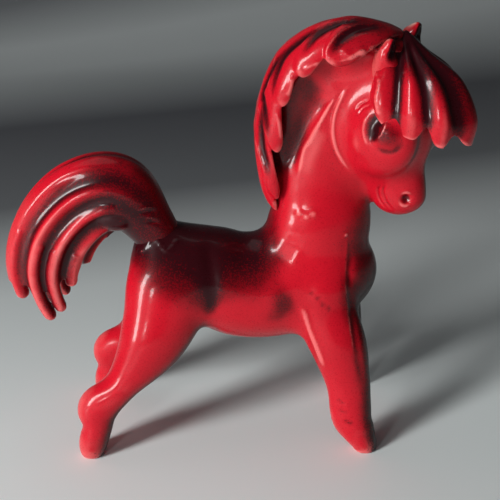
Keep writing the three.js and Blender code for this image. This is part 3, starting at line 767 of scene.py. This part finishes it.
def lay_ear(bm, side):
    """An ear with a shallow cup on its outside."""
    base = -EAR_HEIGHT * EAR_SEATS[side]

    def cupped(turn, t):
        open_side = np.exp(-((np.abs(turn) - math.pi) / 0.75) ** 2) * ease(t, 0.25, 0.6) * ease(1 - t, 0, 0.2)
        return np.cos(turn) * (1 - 0.8 * open_side), np.sin(turn)

    made = roll(bm, [
        (-EAR_WIDTH * 0.3, side * EAR_SPREAD * 0.36, base - EAR_HEIGHT * 0.4, EAR_WIDTH * 1.5, EAR_WIDTH * 1.3),
        (-EAR_WIDTH * 0.2, side * EAR_SPREAD * 0.48, base + EAR_HEIGHT * 0.4, EAR_WIDTH * 1.15, EAR_WIDTH),
        (0, side * EAR_SPREAD * 0.5, base + EAR_HEIGHT * 0.75, EAR_WIDTH * 0.8, EAR_WIDTH * 0.65),
        (EAR_WIDTH * 0.15, side * EAR_SPREAD * 0.51, base + EAR_HEIGHT, EAR_WIDTH * 0.25, EAR_WIDTH * 0.25),
    ], sides=60, rings=70, section=cupped)
    moved(made, on_head([v.co for v in made]))


# ---------------------------------------------------------------- materials
def glaze_effect():
    """A shader group: red glaze that runs dark where it pools and where shade is painted, with specks between, and
    pale where it is thin and where a highlight is painted.
    """
    name = "Running glaze"
    if name in bpy.data.node_groups:
        return bpy.data.node_groups[name]
    group = bpy.data.node_groups.new(name, "ShaderNodeTree")
    sockets = (("INPUT", "Float", ("Pool", "Thin", "Speck Size")), ("INPUT", "Color", ("Red", "Dark", "Pale")),
               ("OUTPUT", "Color", ("Color",)), ("OUTPUT", "Float", ("Roughness", "Height")))
    for way, kind, titles in sockets:
        for title in titles:
            group.interface.new_socket(title, in_out=way, socket_type="NodeSocket" + kind)
    node, link = group.nodes.new, group.links.new
    given, result = node("NodeGroupInput"), node("NodeGroupOutput")
    place = node("ShaderNodeTexCoord")

    def feed(socket, value):
        """Sets a socket to a number, or links it to another socket."""
        if isinstance(value, (int, float)):
            socket.default_value = value
        else:
            link(value, socket)

    def maths(operation, first, second, clamp=False):
        made = node("ShaderNodeMath")
        made.operation = operation
        made.use_clamp = clamp
        feed(made.inputs[0], first)
        feed(made.inputs[1], second)
        return made.outputs[0]

    def noise(scale, detail, roughness):
        made = node("ShaderNodeTexNoise")
        link(place.outputs["Object"], made.inputs["Vector"])
        for title, value in (("Scale", scale), ("Detail", detail), ("Roughness", roughness)):
            feed(made.inputs[title], value)
        return made.outputs["Fac"]

    def swing(pattern, strength):
        """A pattern that adds and takes away by turns."""
        return maths("MULTIPLY", maths("SUBTRACT", pattern, 0.5), strength)

    def ramp(value, low, high):
        made = node("ShaderNodeMapRange")
        made.interpolation_type = "SMOOTHSTEP"
        for title, setting in (("Value", value), ("From Min", low), ("From Max", high)):
            feed(made.inputs[title], setting)
        return made.outputs["Result"]

    def blend(factor, first, second):
        made = node("ShaderNodeMix")
        made.data_type = "RGBA"
        for number, value in ((0, factor), (6, first), (7, second)):  # the sockets that a colour mix uses
            link(value, made.inputs[number])
        return made.outputs[2]

    def valued(colour, value):
        """The same colour, lighter or darker."""
        made = node("ShaderNodeHueSaturation")
        link(colour, made.inputs["Color"])
        link(value, made.inputs["Value"])
        return made.outputs["Color"]

    specks = noise(maths("DIVIDE", 1.0, given.outputs["Speck Size"]), 3, 0.6)
    clouds = noise(70, 4, 0.55)
    drifts = noise(24, 3, 0.5)
    pooled_and_shaded = maths("ADD", given.outputs["Pool"], swing(clouds, 0.35))
    speckled = ramp(maths("ADD", pooled_and_shaded, swing(specks, 3.6)), 0.4, 0.85)
    soaked_and_shaded = ramp(pooled_and_shaded, 0.35, 1.15)
    darkness = maths("ADD", maths("MULTIPLY", speckled, 0.6), maths("MULTIPLY", soaked_and_shaded, 0.45), clamp=True)
    deepness = maths("MULTIPLY", ramp(pooled_and_shaded, 0.08, 0.6), 0.62)
    bare_and_sheen = ramp(maths("ADD", given.outputs["Thin"], swing(clouds, 0.3)), 0.2, 1.0)
    paleness = maths("MULTIPLY", bare_and_sheen, 0.9, clamp=True)
    uneven = maths("ADD", 0.4, maths("ADD", maths("MULTIPLY", drifts, 0.5), maths("MULTIPLY", specks, 0.7)))
    deep = valued(valued(given.outputs["Red"], uneven), maths("SUBTRACT", 1.0, deepness))
    base = blend(paleness, deep, given.outputs["Pale"])
    link(blend(darkness, base, given.outputs["Dark"]), result.inputs["Color"])
    link(maths("ADD", 0.22, maths("MULTIPLY", specks, 0.14)), result.inputs["Roughness"])
    link(maths("ADD", maths("MULTIPLY", clouds, 0.7), maths("MULTIPLY", specks, 0.15)), result.inputs["Height"])
    return group


def new_material(name):
    """A new material, its surface shader, and what makes and links its nodes."""
    material = bpy.data.materials.new(name)
    material.use_nodes = True
    nodes = material.node_tree.nodes
    return material, nodes["Principled BSDF"], nodes.new, material.node_tree.links.new


def glaze(name, pale=None):
    """Glazed earthenware: the running glaze under a clear, glassy surface."""
    colours, sizes = bpy.context.scene.glaze_colours, bpy.context.scene.glaze_sizes
    material, surface, node, link = new_material(name)
    effect = node("ShaderNodeGroup")
    effect.node_tree = glaze_effect()
    for title, key in (("Pool", "pool"), ("Thin", "thin")):
        kept = node("ShaderNodeAttribute")
        kept.attribute_name = key
        link(kept.outputs["Fac"], effect.inputs[title])
    effect.inputs["Speck Size"].default_value = sizes.speckle
    for title, colour in (("Red", colours.red), ("Dark", colours.dark), ("Pale", pale or colours.thin)):
        effect.inputs[title].default_value = (*colour, 1)
    link(effect.outputs["Color"], surface.inputs["Base Color"])
    link(effect.outputs["Roughness"], surface.inputs["Roughness"])
    bump = node("ShaderNodeBump")
    bump.inputs["Strength"].default_value = 0.35
    bump.inputs["Distance"].default_value = 0.12 * MM
    link(effect.outputs["Height"], bump.inputs["Height"])
    link(bump.outputs["Normal"], surface.inputs["Normal"])
    surface.inputs["Coat Weight"].default_value = 0.3
    surface.inputs["Coat Roughness"].default_value = 0.09
    surface.inputs["Specular IOR Level"].default_value = 0.14
    return material


def shelf_paper():
    """The shelf's pale paper, which turns to the backdrop's colour away from the camera."""
    colours = bpy.context.scene.glaze_colours
    material, surface, node, link = new_material("Shelf")
    surface.inputs["Roughness"].default_value = 0.55
    place, away = node("ShaderNodeTexCoord"), node("ShaderNodeVectorMath")
    depth, fade, shade = node("ShaderNodeMapRange"), node("ShaderNodeValToRGB"), node("ShaderNodeMix")
    away.operation = "DOT_PRODUCT"
    away.inputs[1].default_value = FADE_ALONG
    depth.inputs["From Min"].default_value, depth.inputs["From Max"].default_value = FADE_START, FADE_STOP
    stops = fade.color_ramp.elements
    for number, (at, level) in enumerate(SHELF_FADE):
        stop = stops[number] if number < 2 else stops.new(at)  # a new ramp has two stops
        stop.position, stop.color = at, (level, level, level, 1)
    shade.data_type = "RGBA"
    shade.inputs[6].default_value = (*colours.shelf, 1)
    shade.inputs[7].default_value = (*colours.backdrop, 1)
    link(place.outputs["Object"], away.inputs[0])
    link(away.outputs["Value"], depth.inputs["Value"])
    link(depth.outputs["Result"], fade.inputs["Fac"])
    link(fade.outputs["Color"], shade.inputs[0])
    link(shade.outputs[2], surface.inputs["Base Color"])
    return material


def pooling(skin, in_creases, in_hollows):
    """Glaze runs off the ridges and into the creases and hollows."""
    near, far = skin.cavity(CREASE_ROUNDS) / CREASE_DEPTH, skin.cavity(HOLLOW_ROUNDS) / HOLLOW_DEPTH
    pool = np.clip(near, 0, 1) * in_creases + np.clip(far, 0, 1) * in_hollows
    thin = np.clip(-near - 0.3, 0, 1) * 0.4 + np.clip(-far - 0.8, 0, 1) * 0.3
    return pool, thin


def set_down(skin, material, slot, *nodes, hollows):
    """Glazes the skin, and sets it down as the piece that stands for the nodes named."""
    piece = skin.glazed(*pooling(skin, *hollows))
    piece.data.materials.clear()
    piece.data.materials.append(material)
    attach(piece, "root")
    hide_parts(*nodes)


# ---------------------------------------------------------------- details drawn into the leather-hard clay
HEAD_MARKS = (
    Mark([(352, 82), (345, 92), (338, 105), (334, 118), (333, 133), (336, 148), (342, 160), (350, 170), (359, 175)],
         1.0, -0.55, thin=0.9, count=60),  # rim of the jowl, and a groove outside it
    Mark([(349, 80), (342, 90), (335, 104), (331, 118), (330, 133), (333, 149), (339, 162), (348, 173)],
         1.1, 0.25, count=60),
    Mark([(355, 111), (362, 104), (372, 100)], 0.8, 0.45),  # wrinkles under the ear
    Mark([(357, 116), (364, 108), (373, 105)], 0.8, 0.45),
    Mark([(381, 184), (377.5, 191), (380, 201), (388, 210)], 0.8, 0.6, pool=0.1),  # creases beside the mouth
    Mark([(386, 184), (382.5, 191), (386, 202), (393, 211)], 0.8, 0.6, pool=0.1),
    Mark([(387, 136)], 6.5, pool=0.55, tool="dab"),  # the eye, its socket and its lower lid
    Mark([(386, 116), (379, 119), (373.5, 126), (373, 136), (377, 144)], 3.2, 1.0, pool=1.3, taper=0.3),
    Mark([(374, 145), (382, 151), (392, 152.5), (400, 147), (403, 138)], 1.6, 0.4, pool=0.35, taper=0.35),
    Mark([(386, 120), (385, 127), (381.5, 134), (376, 141)], 0.7, -0.25, thin=0.5),  # the lit edge of the eye
    Mark([(372, 113), (365.5, 120), (363.5, 131), (366, 142), (371, 150)], 1.2, -0.4, thin=0.6),  # brow
    Mark([(356, 122), (355.5, 136), (358, 150), (365, 163)], 3.4, -0.3, thin=0.5, taper=0.5),  # cheekbone, a low ridge with a painted sheen along it
)
EYE, NOSTRIL = [(386, 135)], [(406, 199.5)]
# The neck's edge beside the mane: a ridge with a painted highlight along it.
NECK_EDGE = Mark([(342, 92), (330, 105), (318, 125), (310, 140), (303, 150), (299, 170), (297, 178)],
                 1.2, -0.8, thin=0.9, count=60)
BODY_MARKS = (
    NECK_EDGE,
    Mark([(334, 88), (320, 102), (308, 120), (299, 140), (292, 158), (289, 178)], 5.0, 2.2, count=60),  # inside it
    Mark([(326, 122), (317, 142), (309, 162), (306, 185)], 5.0, thin=0.5, count=60),  # the lit side of the neck
    Mark([(207, 238), (211, 268), (213, 292), (209, 320)], 3.2, 0.8, pool=0.5),  # between flank and haunch a groove, and beside it a broad band, both darkened by pooled glaze and painted shade
    Mark([(197, 240), (203, 270), (205, 295), (199, 325)], 6.5, pool=0.45, taper=0.4),
    Mark([(297, 302), (304, 312), (310, 330), (318, 350), (326, 372)], 1.7, -0.9, thin=0.6),  # forearm's back: a ridge with a painted highlight along it
    Mark([(351, 238), (350, 260), (349, 283), (352, 310), (356, 340), (361, 370), (366, 400)],
         2.6, 0.5, count=40),  # hollow of the breast, and the edge beside it: a ridge with a painted highlight line along it
    Mark([(348, 230), (346.5, 256), (346, 282), (348, 310), (352, 338), (356, 366)], 0.8, -0.25, thin=0.3, count=40),
    Mark([(288, 252)], 6.0, tool="flat"),  # where the shoulder mirrors the window
    *(Mark([(x, y), (x - 3, y + 7)], 1.4, 0.1, pool=0.4) for x, y in ((313, 290), (319, 295), (324, 301), (330, 305))),
    Mark([(337, 397), (341, 402), (346, 405)], 1.2, 0.35, pool=0.25),  # rings of the fetlock
    Mark([(338, 408), (343, 412), (349, 414)], 1.2, 0.35, pool=0.25),
    Mark([(343, 419), (349, 423), (355, 424)], 1.2, 0.35, pool=0.25),
    Mark([(299, 213), (306, 217), (313, 214)], 1.7, -0.6, thin=0.4, count=3, tool="dab"),  # slip round the neck
    Mark([(281, 296), (287, 303), (284, 311), (274, 318)], 5.0, pool=0.24, count=5, tool="dab"),  # elbow
)
BREAST_SPECK = [(346, 235)]
FORELOCK_LUMPS = [(376, 70), (379, 84), (376, 98), (378, 112)]
TAIL_CREASES = (
    [(129, 219), (138, 214), (149, 211.5), (160, 212)],
    [(137, 227), (146, 222), (156, 222.5), (161, 228)])
MANE_VALLEYS = (
    [(392, 30), (375, 26), (356, 29), (342, 38), (332, 52), (328, 62)],
    [(375, 20), (350, 20), (330, 26), (315, 36), (305, 50), (299, 64)],
    [(338, 22), (315, 30), (297, 42), (283, 56), (275, 75), (273, 95), (276, 106)],
    [(300, 38), (280, 55), (268, 75), (262, 95), (264, 115), (268, 135), (275, 157)],
    [(262, 100), (260, 120), (261, 145), (266, 165), (273, 185)])
# Painted highlights: dabs at the tips of the locks, and lines on small ridges along the locks' lower edges.
MANE_EDGES = (
    Mark([(332, 62), (300, 72), (281, 103), (279, 148), (280, 190), (276, 203)], 2.2, thin=0.5, count=6, tool="dab"),
    *(Mark(line, 0.9, -0.35, thin=0.4) for line in (
        [(336, 62), (350, 58), (368, 48)], [(303, 70), (315, 64), (326, 62)], [(286, 98), (291, 86), (291, 76)],
        [(281, 142), (279, 125), (276, 112)], [(281, 184), (278, 170), (275, 158)])),
)
MANE_LUMPS = [(345, 52), (352, 57), (360, 50), (366, 56), (371, 48)]
CRUMBS, CRUMBS_START, CRUMBS_LENGTH = 14, (136, 244), 40  # slip left round the tail's root: how many, and pixels


def detail_head(skin):
    """The jowl, the mouth, the eyes and the nostrils, alike on both sides."""
    skin.feel()
    skin.work(HEAD_MARKS, head=True)
    around = np.linspace(0, 2 * math.pi, 25)
    ring = np.column_stack([np.cos(around), 0 * around, np.sin(around)]) * NOSTRIL_RING @ HEAD_AXES
    near = skin.seen(NOSTRIL)
    for pit in (*near, *skin.behind(near, head=True)):
        skin.stroke(ring + pit, 1.0, -0.55, thin=0.9, taper=0)
        skin.press(pit, NOSTRIL_PIT, 2.0, pool=0.3)


def detail_body(skin):
    """The neck's edge beside the mane, the glaze that has run dark over the back and into the joints, and painted
    shade under the mane and on the sides that face away from the window.
    """
    skin.work(BODY_MARKS)
    x, _, z = skin.co.T
    neck = skin.seen(NECK_EDGE.line, NECK_EDGE.count)
    order = np.argsort(neck[:, 2])
    # Painted shade, with the glaze pooled there, in the recess under the mane behind the neck's edge.
    behind_neck = np.interp(z, neck[order, 2], neck[order, 0]) - x
    margin = np.clip((z - POLL + 42) * 0.2, 0, 4) + np.clip((z - POLL + 20) * 0.8, 0, 12)
    skin.pool += 0.45 * ease(behind_neck - margin, 0, 8) * ease(z, neck[order[0], 2] - 4, neck[order[0], 2] + 6)
    normals = skin.normals()
    # Painted shade on the lower neck and the chest where they face ahead, away from the window.
    ahead = normals[:, 0]
    throat = ease(x, 25, 40) * ease(-z, -BARREL_HEIGHT * 1.8, -BARREL_HEIGHT * 1.4)
    skin.pool += 0.6 * ease(ahead, 0.05, 0.75) * throat
    in_shade = ease(normals @ np.array([0.85, 0.5, -0.15]), 0.1, 0.85)  # painted shade on the head and the top of the neck, where they face ahead and to the far side
    skin.pool += 0.9 * in_shade * ease(z, POLL - HEAD_LENGTH * 1.1, POLL - HEAD_LENGTH * 0.9)
    # Painted shade on the legs and belly where they face down, ahead and to the far side.
    under = ease(normals @ np.array([0.75, 0.3, -0.55]), 0.1, 0.85)
    skin.pool += 0.9 * under * (1 - ease(z, BARREL_HEIGHT, BARREL_HEIGHT * 1.3))
    # Darker towards the hooves, with painted shade on the sides that face ahead.
    skin.pool += 0.3 * (1 - ease(z, 6, 40)) * ease(ahead, -0.6, 0.5)
    skin.thin += 0.9 * (1 - ease(z, 0.3, 1.6))
    for place in skin.seen(BREAST_SPECK):
        skin.press(place, 0.9, -0.5, thin=0.9)
    back = ease(z, BARREL_HEIGHT - BARREL_DEPTH * 0.2, BARREL_HEIGHT + BARREL_DEPTH * 0.5) ** 1.3
    skin.pool += 1.1 * back * ease(x, -HIPS_BEHIND * 1.6, -HIPS_BEHIND * 0.9) * ease(-x, -20, 2)
    # Dark round the tail's root: pooled glaze and painted shade.
    from_root = np.linalg.norm(skin.co - tail_line()[1, :3], axis=1)
    skin.pool += 0.8 * (1 - ease(from_root, 10, 26))
    for share in np.arange(CRUMBS) / (CRUMBS - 1):
        left, low = CRUMBS_START
        for place in skin.seen([(left + CRUMBS_LENGTH * share, low + 7 * math.sin(9.1 * share + 0.6))]):
            skin.press(place, 0.8 + 0.35 * math.sin(37 * share) ** 2, -0.6, thin=0.8)
    # Darker round the crown of the head, under the forelock.
    from_crown = np.linalg.norm(skin.co - on_head((2, 0, 4)), axis=1)
    skin.pool += 1.1 * (1 - ease(from_crown, 13, 19))


def detail_forelock(skin):
    """The glaze stands dark over the crown and in the grooves, and runs thin on the fringe."""
    ahead, aside, above = in_head(skin.co).T
    hair = forelock_hair(np.arctan2(aside, ahead))
    down = (FORELOCK_RISE - above) / FORELOCK_DROP
    near_ear = ease(-aside, FORELOCK_SPREAD * 0.35, FORELOCK_SPREAD * 0.8)
    turn = np.degrees(np.arctan2(aside, ahead))
    # The groove beside the near ear stays red, and so does the fringe's edge between two of the front grooves.
    dark = ease(turn, -95, -80) * (1 - ease(turn, -60, -50) * (1 - ease(turn, -20, -10)) * ease(down, 0.7, 0.9))
    skin.pool += (1 - hair) ** 3.4 * 1.1 * ease(down, 0.0, 0.3) * dark * mix(1, 0.6, ease(down, 0.75, 1.0))
    skin.pool += 0.72 * (1 - ease(down, 0.1, 0.95)) * (1 - 0.7 * near_ear) + 1.0 * (1 - ease(down, 0.02, 0.25))
    skin.pool += 0.3 * (1 - ease(down, 0.7, 0.95)) * (1 - 0.9 * near_ear)
    skin.thin += hair**2 * 0.45 * ease(down, 0.35, 0.8) + 0.4 * ease(down, 0.9, 1.0)
    skin.feel()
    for lump in skin.seen(FORELOCK_LUMPS, 9):
        skin.press(lump, 1.5, -0.6, thin=0.3)


def detail_tail(skin):
    """The glaze stands dark in the valleys, and runs thin along each lock; round the root the dark is pooled glaze and
    painted shade.
    """
    along, turn = unrolled(skin.co, tail_line())
    skin.co = skin.relaxed(skin.co, 40, 0.6, ease(np.cos(turn), 0.6, 0.95) * ease(along, 0.2, 0.4))
    skin.sponge(12, ease(along, 0.6, 0.7))
    ridge = tail_ridge(turn)
    inside = np.cos(turn) * 0.5 + 0.5
    skin.pool += (1 - ridge) * ease(along, 0.12, 0.42) * mix(0.6, 0.95, inside)
    # Dark round the root: pooled glaze and painted shade, most on the inside of the curl.
    skin.pool += 1.0 * (1 - ease(along, 0.18, 0.52)) * mix(0.6, 1.1, inside)
    skin.thin += ridge**2 * mix(0.45, 1.0, inside) * ease(along, 0.35, 0.65)
    skin.feel()
    for line in TAIL_CREASES:
        crease = skin.seen(line)
        for places in (crease, skin.behind(crease)):
            skin.stroke(places, 1.3, 0.4, taper=0.5)
            skin.stroke(places + (0, 0, 1.8), 0.8, -0.25, thin=0.35, taper=0.5)


def detail_ear(skin):
    """The clay shows through at the back of an ear's tip, and the glaze pools in its hollow."""
    facing = skin.normals() @ HEAD_AXES[0]
    height = skin.co[:, 2] - POLL
    skin.thin += 1.1 * ease(-facing, -0.2, 0.6) * ease(height, EAR_HEIGHT * 0.3, EAR_HEIGHT * 0.7)
    skin.thin += 0.4 * ease(-facing, -0.6, 0.4)
    skin.pool += 1.1 * ease(facing, 0.25, 0.75) * ease(height, -EAR_HEIGHT * 0.5, EAR_HEIGHT * 0.1)


def detail_mane(skin):
    """Deepens the valleys between the locks as they are combed in the photograph."""
    skin.feel()
    for line in MANE_VALLEYS:
        crest = [(x - 5, y - 3) for x, y in line]
        skin.work((Mark(line, 2.4, 1.4, pool=1.05, taper=0.4, count=40), Mark(crest, 0.9, -0.3, thin=0.3, count=40)))
    from_poll = np.linalg.norm(skin.co - (POLL_AHEAD * 0.9, -POLL_ASIDE, POLL + 6), axis=1)
    skin.pool += 0.45 * (1 - ease(from_poll, 8, 40))
    skin.work(MANE_EDGES)
    for lump in skin.seen(MANE_LUMPS, 9):
        skin.press(lump, 1.7, -0.5)


# ---------------------------------------------------------------- operators, one for each group of pieces
def model_hair(context, node, lay, detail, hollows):
    """Models the mane, the forelock or the tail, which are made alike."""
    bm = bmesh.new()
    lay(bm)
    skin = Skin("glazed_" + node, bm, context.scene.glaze_sizes.hair_grain)
    skin.sponge(3)
    detail(skin)
    set_down(skin, glaze(node.capitalize() + " glaze"), node + "_glaze", node, hollows=hollows)


class PONY_OT_body(bpy.types.Operator):
    """Models the trunk, neck, head and legs under one running glaze."""

    bl_idname = "pony.body"
    bl_label = "Body"

    def execute(self, context):
        bm = bmesh.new()
        for lay in (lay_trunk, lay_stump, lay_neck, lay_head):
            lay(bm)
        for side in (-1, 1):
            lay_hind_leg(bm, side)
            lay_front_leg(bm, side)
        skin = Skin("luted_body", bm, LUTING_GRAIN)
        skin.fill(200, mix(1, 0.3, ease(skin.co[:, 2], BARREL_HEIGHT * 1.5, BARREL_HEIGHT * 1.9)))
        x, _, z = skin.co.T
        hips = ease(-x, HIPS_BEHIND * 0.3, HIPS_BEHIND * 0.7) * ease(z, BARREL_HEIGHT * 0.8, BARREL_HEIGHT)
        skin.co = skin.relaxed(skin.co, 70, 0.6, hips)
        skin.feel()
        near_eye = skin.seen(EYE)
        eyes = np.vstack([near_eye, skin.behind(near_eye, head=True)])
        bm = skin.clay()
        for eye in eyes:
            inward = unit(on_head((0, 0, -HEAD_LENGTH * CHEEK_SHARE)) - eye)
            ball(bm, np.full(3, EYE_DIAMETER * 0.7), 0, eye + inward * EYE_DIAMETER * 0.6)
        skin = Skin("glazed_body", bm, context.scene.glaze_sizes.body_grain)
        skin.sponge(4)
        ahead, _, above = in_head(skin.co).T
        skin.refine((above > -HEAD_LENGTH * 1.2) & (ahead > -HEAD_LENGTH * 0.3) & (above < 0))
        skin.sponge(4)
        detail_head(skin)
        detail_body(skin)
        set_down(skin, glaze("Body glaze"), "trunk_casting_glaze", "trunk_casting", "neck_casting", "head_casting",
                 "hind_leg_right", "hind_leg_left", "front_leg_right", "front_leg_left", hollows=BODY_HOLLOWS)
        return {"FINISHED"}


class PONY_OT_mane(bpy.types.Operator):
    """Models the mane: locks combed back from the poll over a roof that stands off the neck."""

    bl_idname = "pony.mane"
    bl_label = "Mane"

    def execute(self, context):
        model_hair(context, "mane", lay_mane, detail_mane, MANE_HOLLOWS)
        return {"FINISHED"}


class PONY_OT_forelock(bpy.types.Operator):
    """Models the forelock: a fringe of locks that falls from the poll over the forehead."""

    bl_idname = "pony.forelock"
    bl_label = "Forelock"

    def execute(self, context):
        model_hair(context, "forelock", lay_forelock, detail_forelock, HAIR_HOLLOWS)
        return {"FINISHED"}


class PONY_OT_tail(bpy.types.Operator):
    """Models the arched tail with its deep locks."""

    bl_idname = "pony.tail"
    bl_label = "Tail"

    def execute(self, context):
        model_hair(context, "tail", lay_tail, detail_tail, HAIR_HOLLOWS)
        return {"FINISHED"}


class PONY_OT_ears(bpy.types.Operator):
    """Models both ears."""

    bl_idname = "pony.ears"
    bl_label = "Ears"

    def execute(self, context):
        for side, name in ((-1, "ear_right"), (1, "ear_left")):
            bm = bmesh.new()
            lay_ear(bm, side)
            skin = Skin("glazed_" + name, bm, EAR_GRAIN)
            skin.sponge(2)
            detail_ear(skin)
            material = glaze(name + " glaze", pale=context.scene.glaze_colours.clay)
            set_down(skin, material, name + "_glaze", name, hollows=EAR_HOLLOWS)
        return {"FINISHED"}


class PONY_OT_stage(bpy.types.Operator):
    """Sets up the shelf, the studio lights and the camera."""

    bl_idname = "pony.stage"
    bl_label = "Shelf, lights and camera"

    def lay_shelf(self, scene):
        """A sheet of paper that runs up into the wall behind in one wide bend."""
        bm = bmesh.new()
        bmesh.ops.create_grid(bm, x_segments=1, y_segments=1, size=SHELF_HALF)
        back = [e for e in bm.edges if all(v.co.y > SHELF_HALF / 2 for v in e.verts)]
        raised = bmesh.ops.extrude_edge_only(bm, edges=back)["geom"]
        wall = [g for g in raised if isinstance(g, bmesh.types.BMVert)]
        bmesh.ops.translate(bm, verts=wall, vec=(0, 0, WALL_RISE))
        bends = [e for e in bm.edges if not any(v in wall or v.co.y < 0 for v in e.verts)]
        bmesh.ops.bevel(bm, geom=bends, offset=SHELF_BEND, segments=BEND_SEGMENTS, profile=0.5, affect="EDGES",
                        material=-1)
        bmesh.ops.recalc_face_normals(bm, faces=bm.faces[:])
        mesh = bpy.data.meshes.new("shelf")
        bm.to_mesh(mesh)
        bm.free()
        mesh.shade_smooth()
        mesh.materials.append(shelf_paper())
        shelf = bpy.data.objects.new("shelf", mesh)
        scene.collection.objects.link(shelf)

    def light_room(self, scene, target):
        """A tall window ahead of the pony's flank, a small pane of it, and a soft light above."""
        for name, (width, height, power, place) in LAMPS.items():
            light = bpy.data.lights.new(name, "AREA")
            light.shape = "RECTANGLE"
            light.size, light.size_y, light.energy = width, height, power
            lamp = bpy.data.objects.new(name, light)
            lamp.location = target + Vector(place)
            lamp.rotation_euler = (target - lamp.location).to_track_quat("-Z", "Y").to_euler()
            scene.collection.objects.link(lamp)
        scene.world = scene.world or bpy.data.worlds.new("Room")
        scene.world.use_nodes = True
        room = scene.world.node_tree.nodes["Background"]
        room.inputs["Color"].default_value = (*ROOM_COLOUR, 1)
        room.inputs["Strength"].default_value = ROOM_STRENGTH

    def place_camera(self, scene, target):
        """The photograph's camera."""
        lens = bpy.data.cameras.new("camera")
        lens.sensor_width = CAMERA_SENSOR
        lens.lens = CAMERA_SENSOR * CAMERA_LENS
        lens.clip_start, lens.clip_end = CAMERA_CLIP
        camera = bpy.data.objects.new("camera", lens)
        back = Vector(CAMERA_BACK)
        camera.location = target + back * (CAMERA_DISTANCE * MM)
        camera.rotation_euler = (-back).to_track_quat("-Z", "Y").to_euler()
        scene.collection.objects.link(camera)
        scene.camera = camera

    def execute(self, context):
        scene = context.scene
        target = SHELF_ORIGIN + Vector(CAMERA_TARGET) * MM
        self.lay_shelf(scene)
        self.light_room(scene, target)
        self.place_camera(scene, target)
        scene.view_settings.view_transform = "Standard"
        return {"FINISHED"}


STEPS = (PONY_OT_body, PONY_OT_mane, PONY_OT_forelock, PONY_OT_tail, PONY_OT_ears, PONY_OT_stage)


class PONY_PT_steps(bpy.types.Panel):
    """Lists the sizes, the colours and the steps."""

    bl_idname = "PONY_PT_steps"
    bl_label = "Glazed pony"
    bl_space_type = "VIEW_3D"
    bl_region_type = "UI"
    bl_category = "Glazed pony"

    def draw(self, context):
        for group in (context.scene.glaze_sizes, context.scene.glaze_colours):
            for key in group.bl_rna.properties.keys():
                if key not in ("rna_type", "name"):
                    self.layout.prop(group, key)
        for step in STEPS:
            self.layout.operator(step.bl_idname)


CLASSES = (GlazeSizes, GlazeColours, *STEPS, PONY_PT_steps)


def register():
    for made in CLASSES:
        bpy.utils.register_class(made)
    bpy.types.Scene.glaze_sizes = bpy.props.PointerProperty(type=GlazeSizes)
    bpy.types.Scene.glaze_colours = bpy.props.PointerProperty(type=GlazeColours)


def unregister():
    del bpy.types.Scene.glaze_sizes
    del bpy.types.Scene.glaze_colours
    for made in reversed(CLASSES):
        bpy.utils.unregister_class(made)


def main():
    register()
    bpy.ops.pony.body()
    bpy.ops.pony.mane()
    bpy.ops.pony.forelock()
    bpy.ops.pony.tail()
    bpy.ops.pony.ears()
    bpy.ops.pony.stage()


if __name__ == "__main__":
    main()
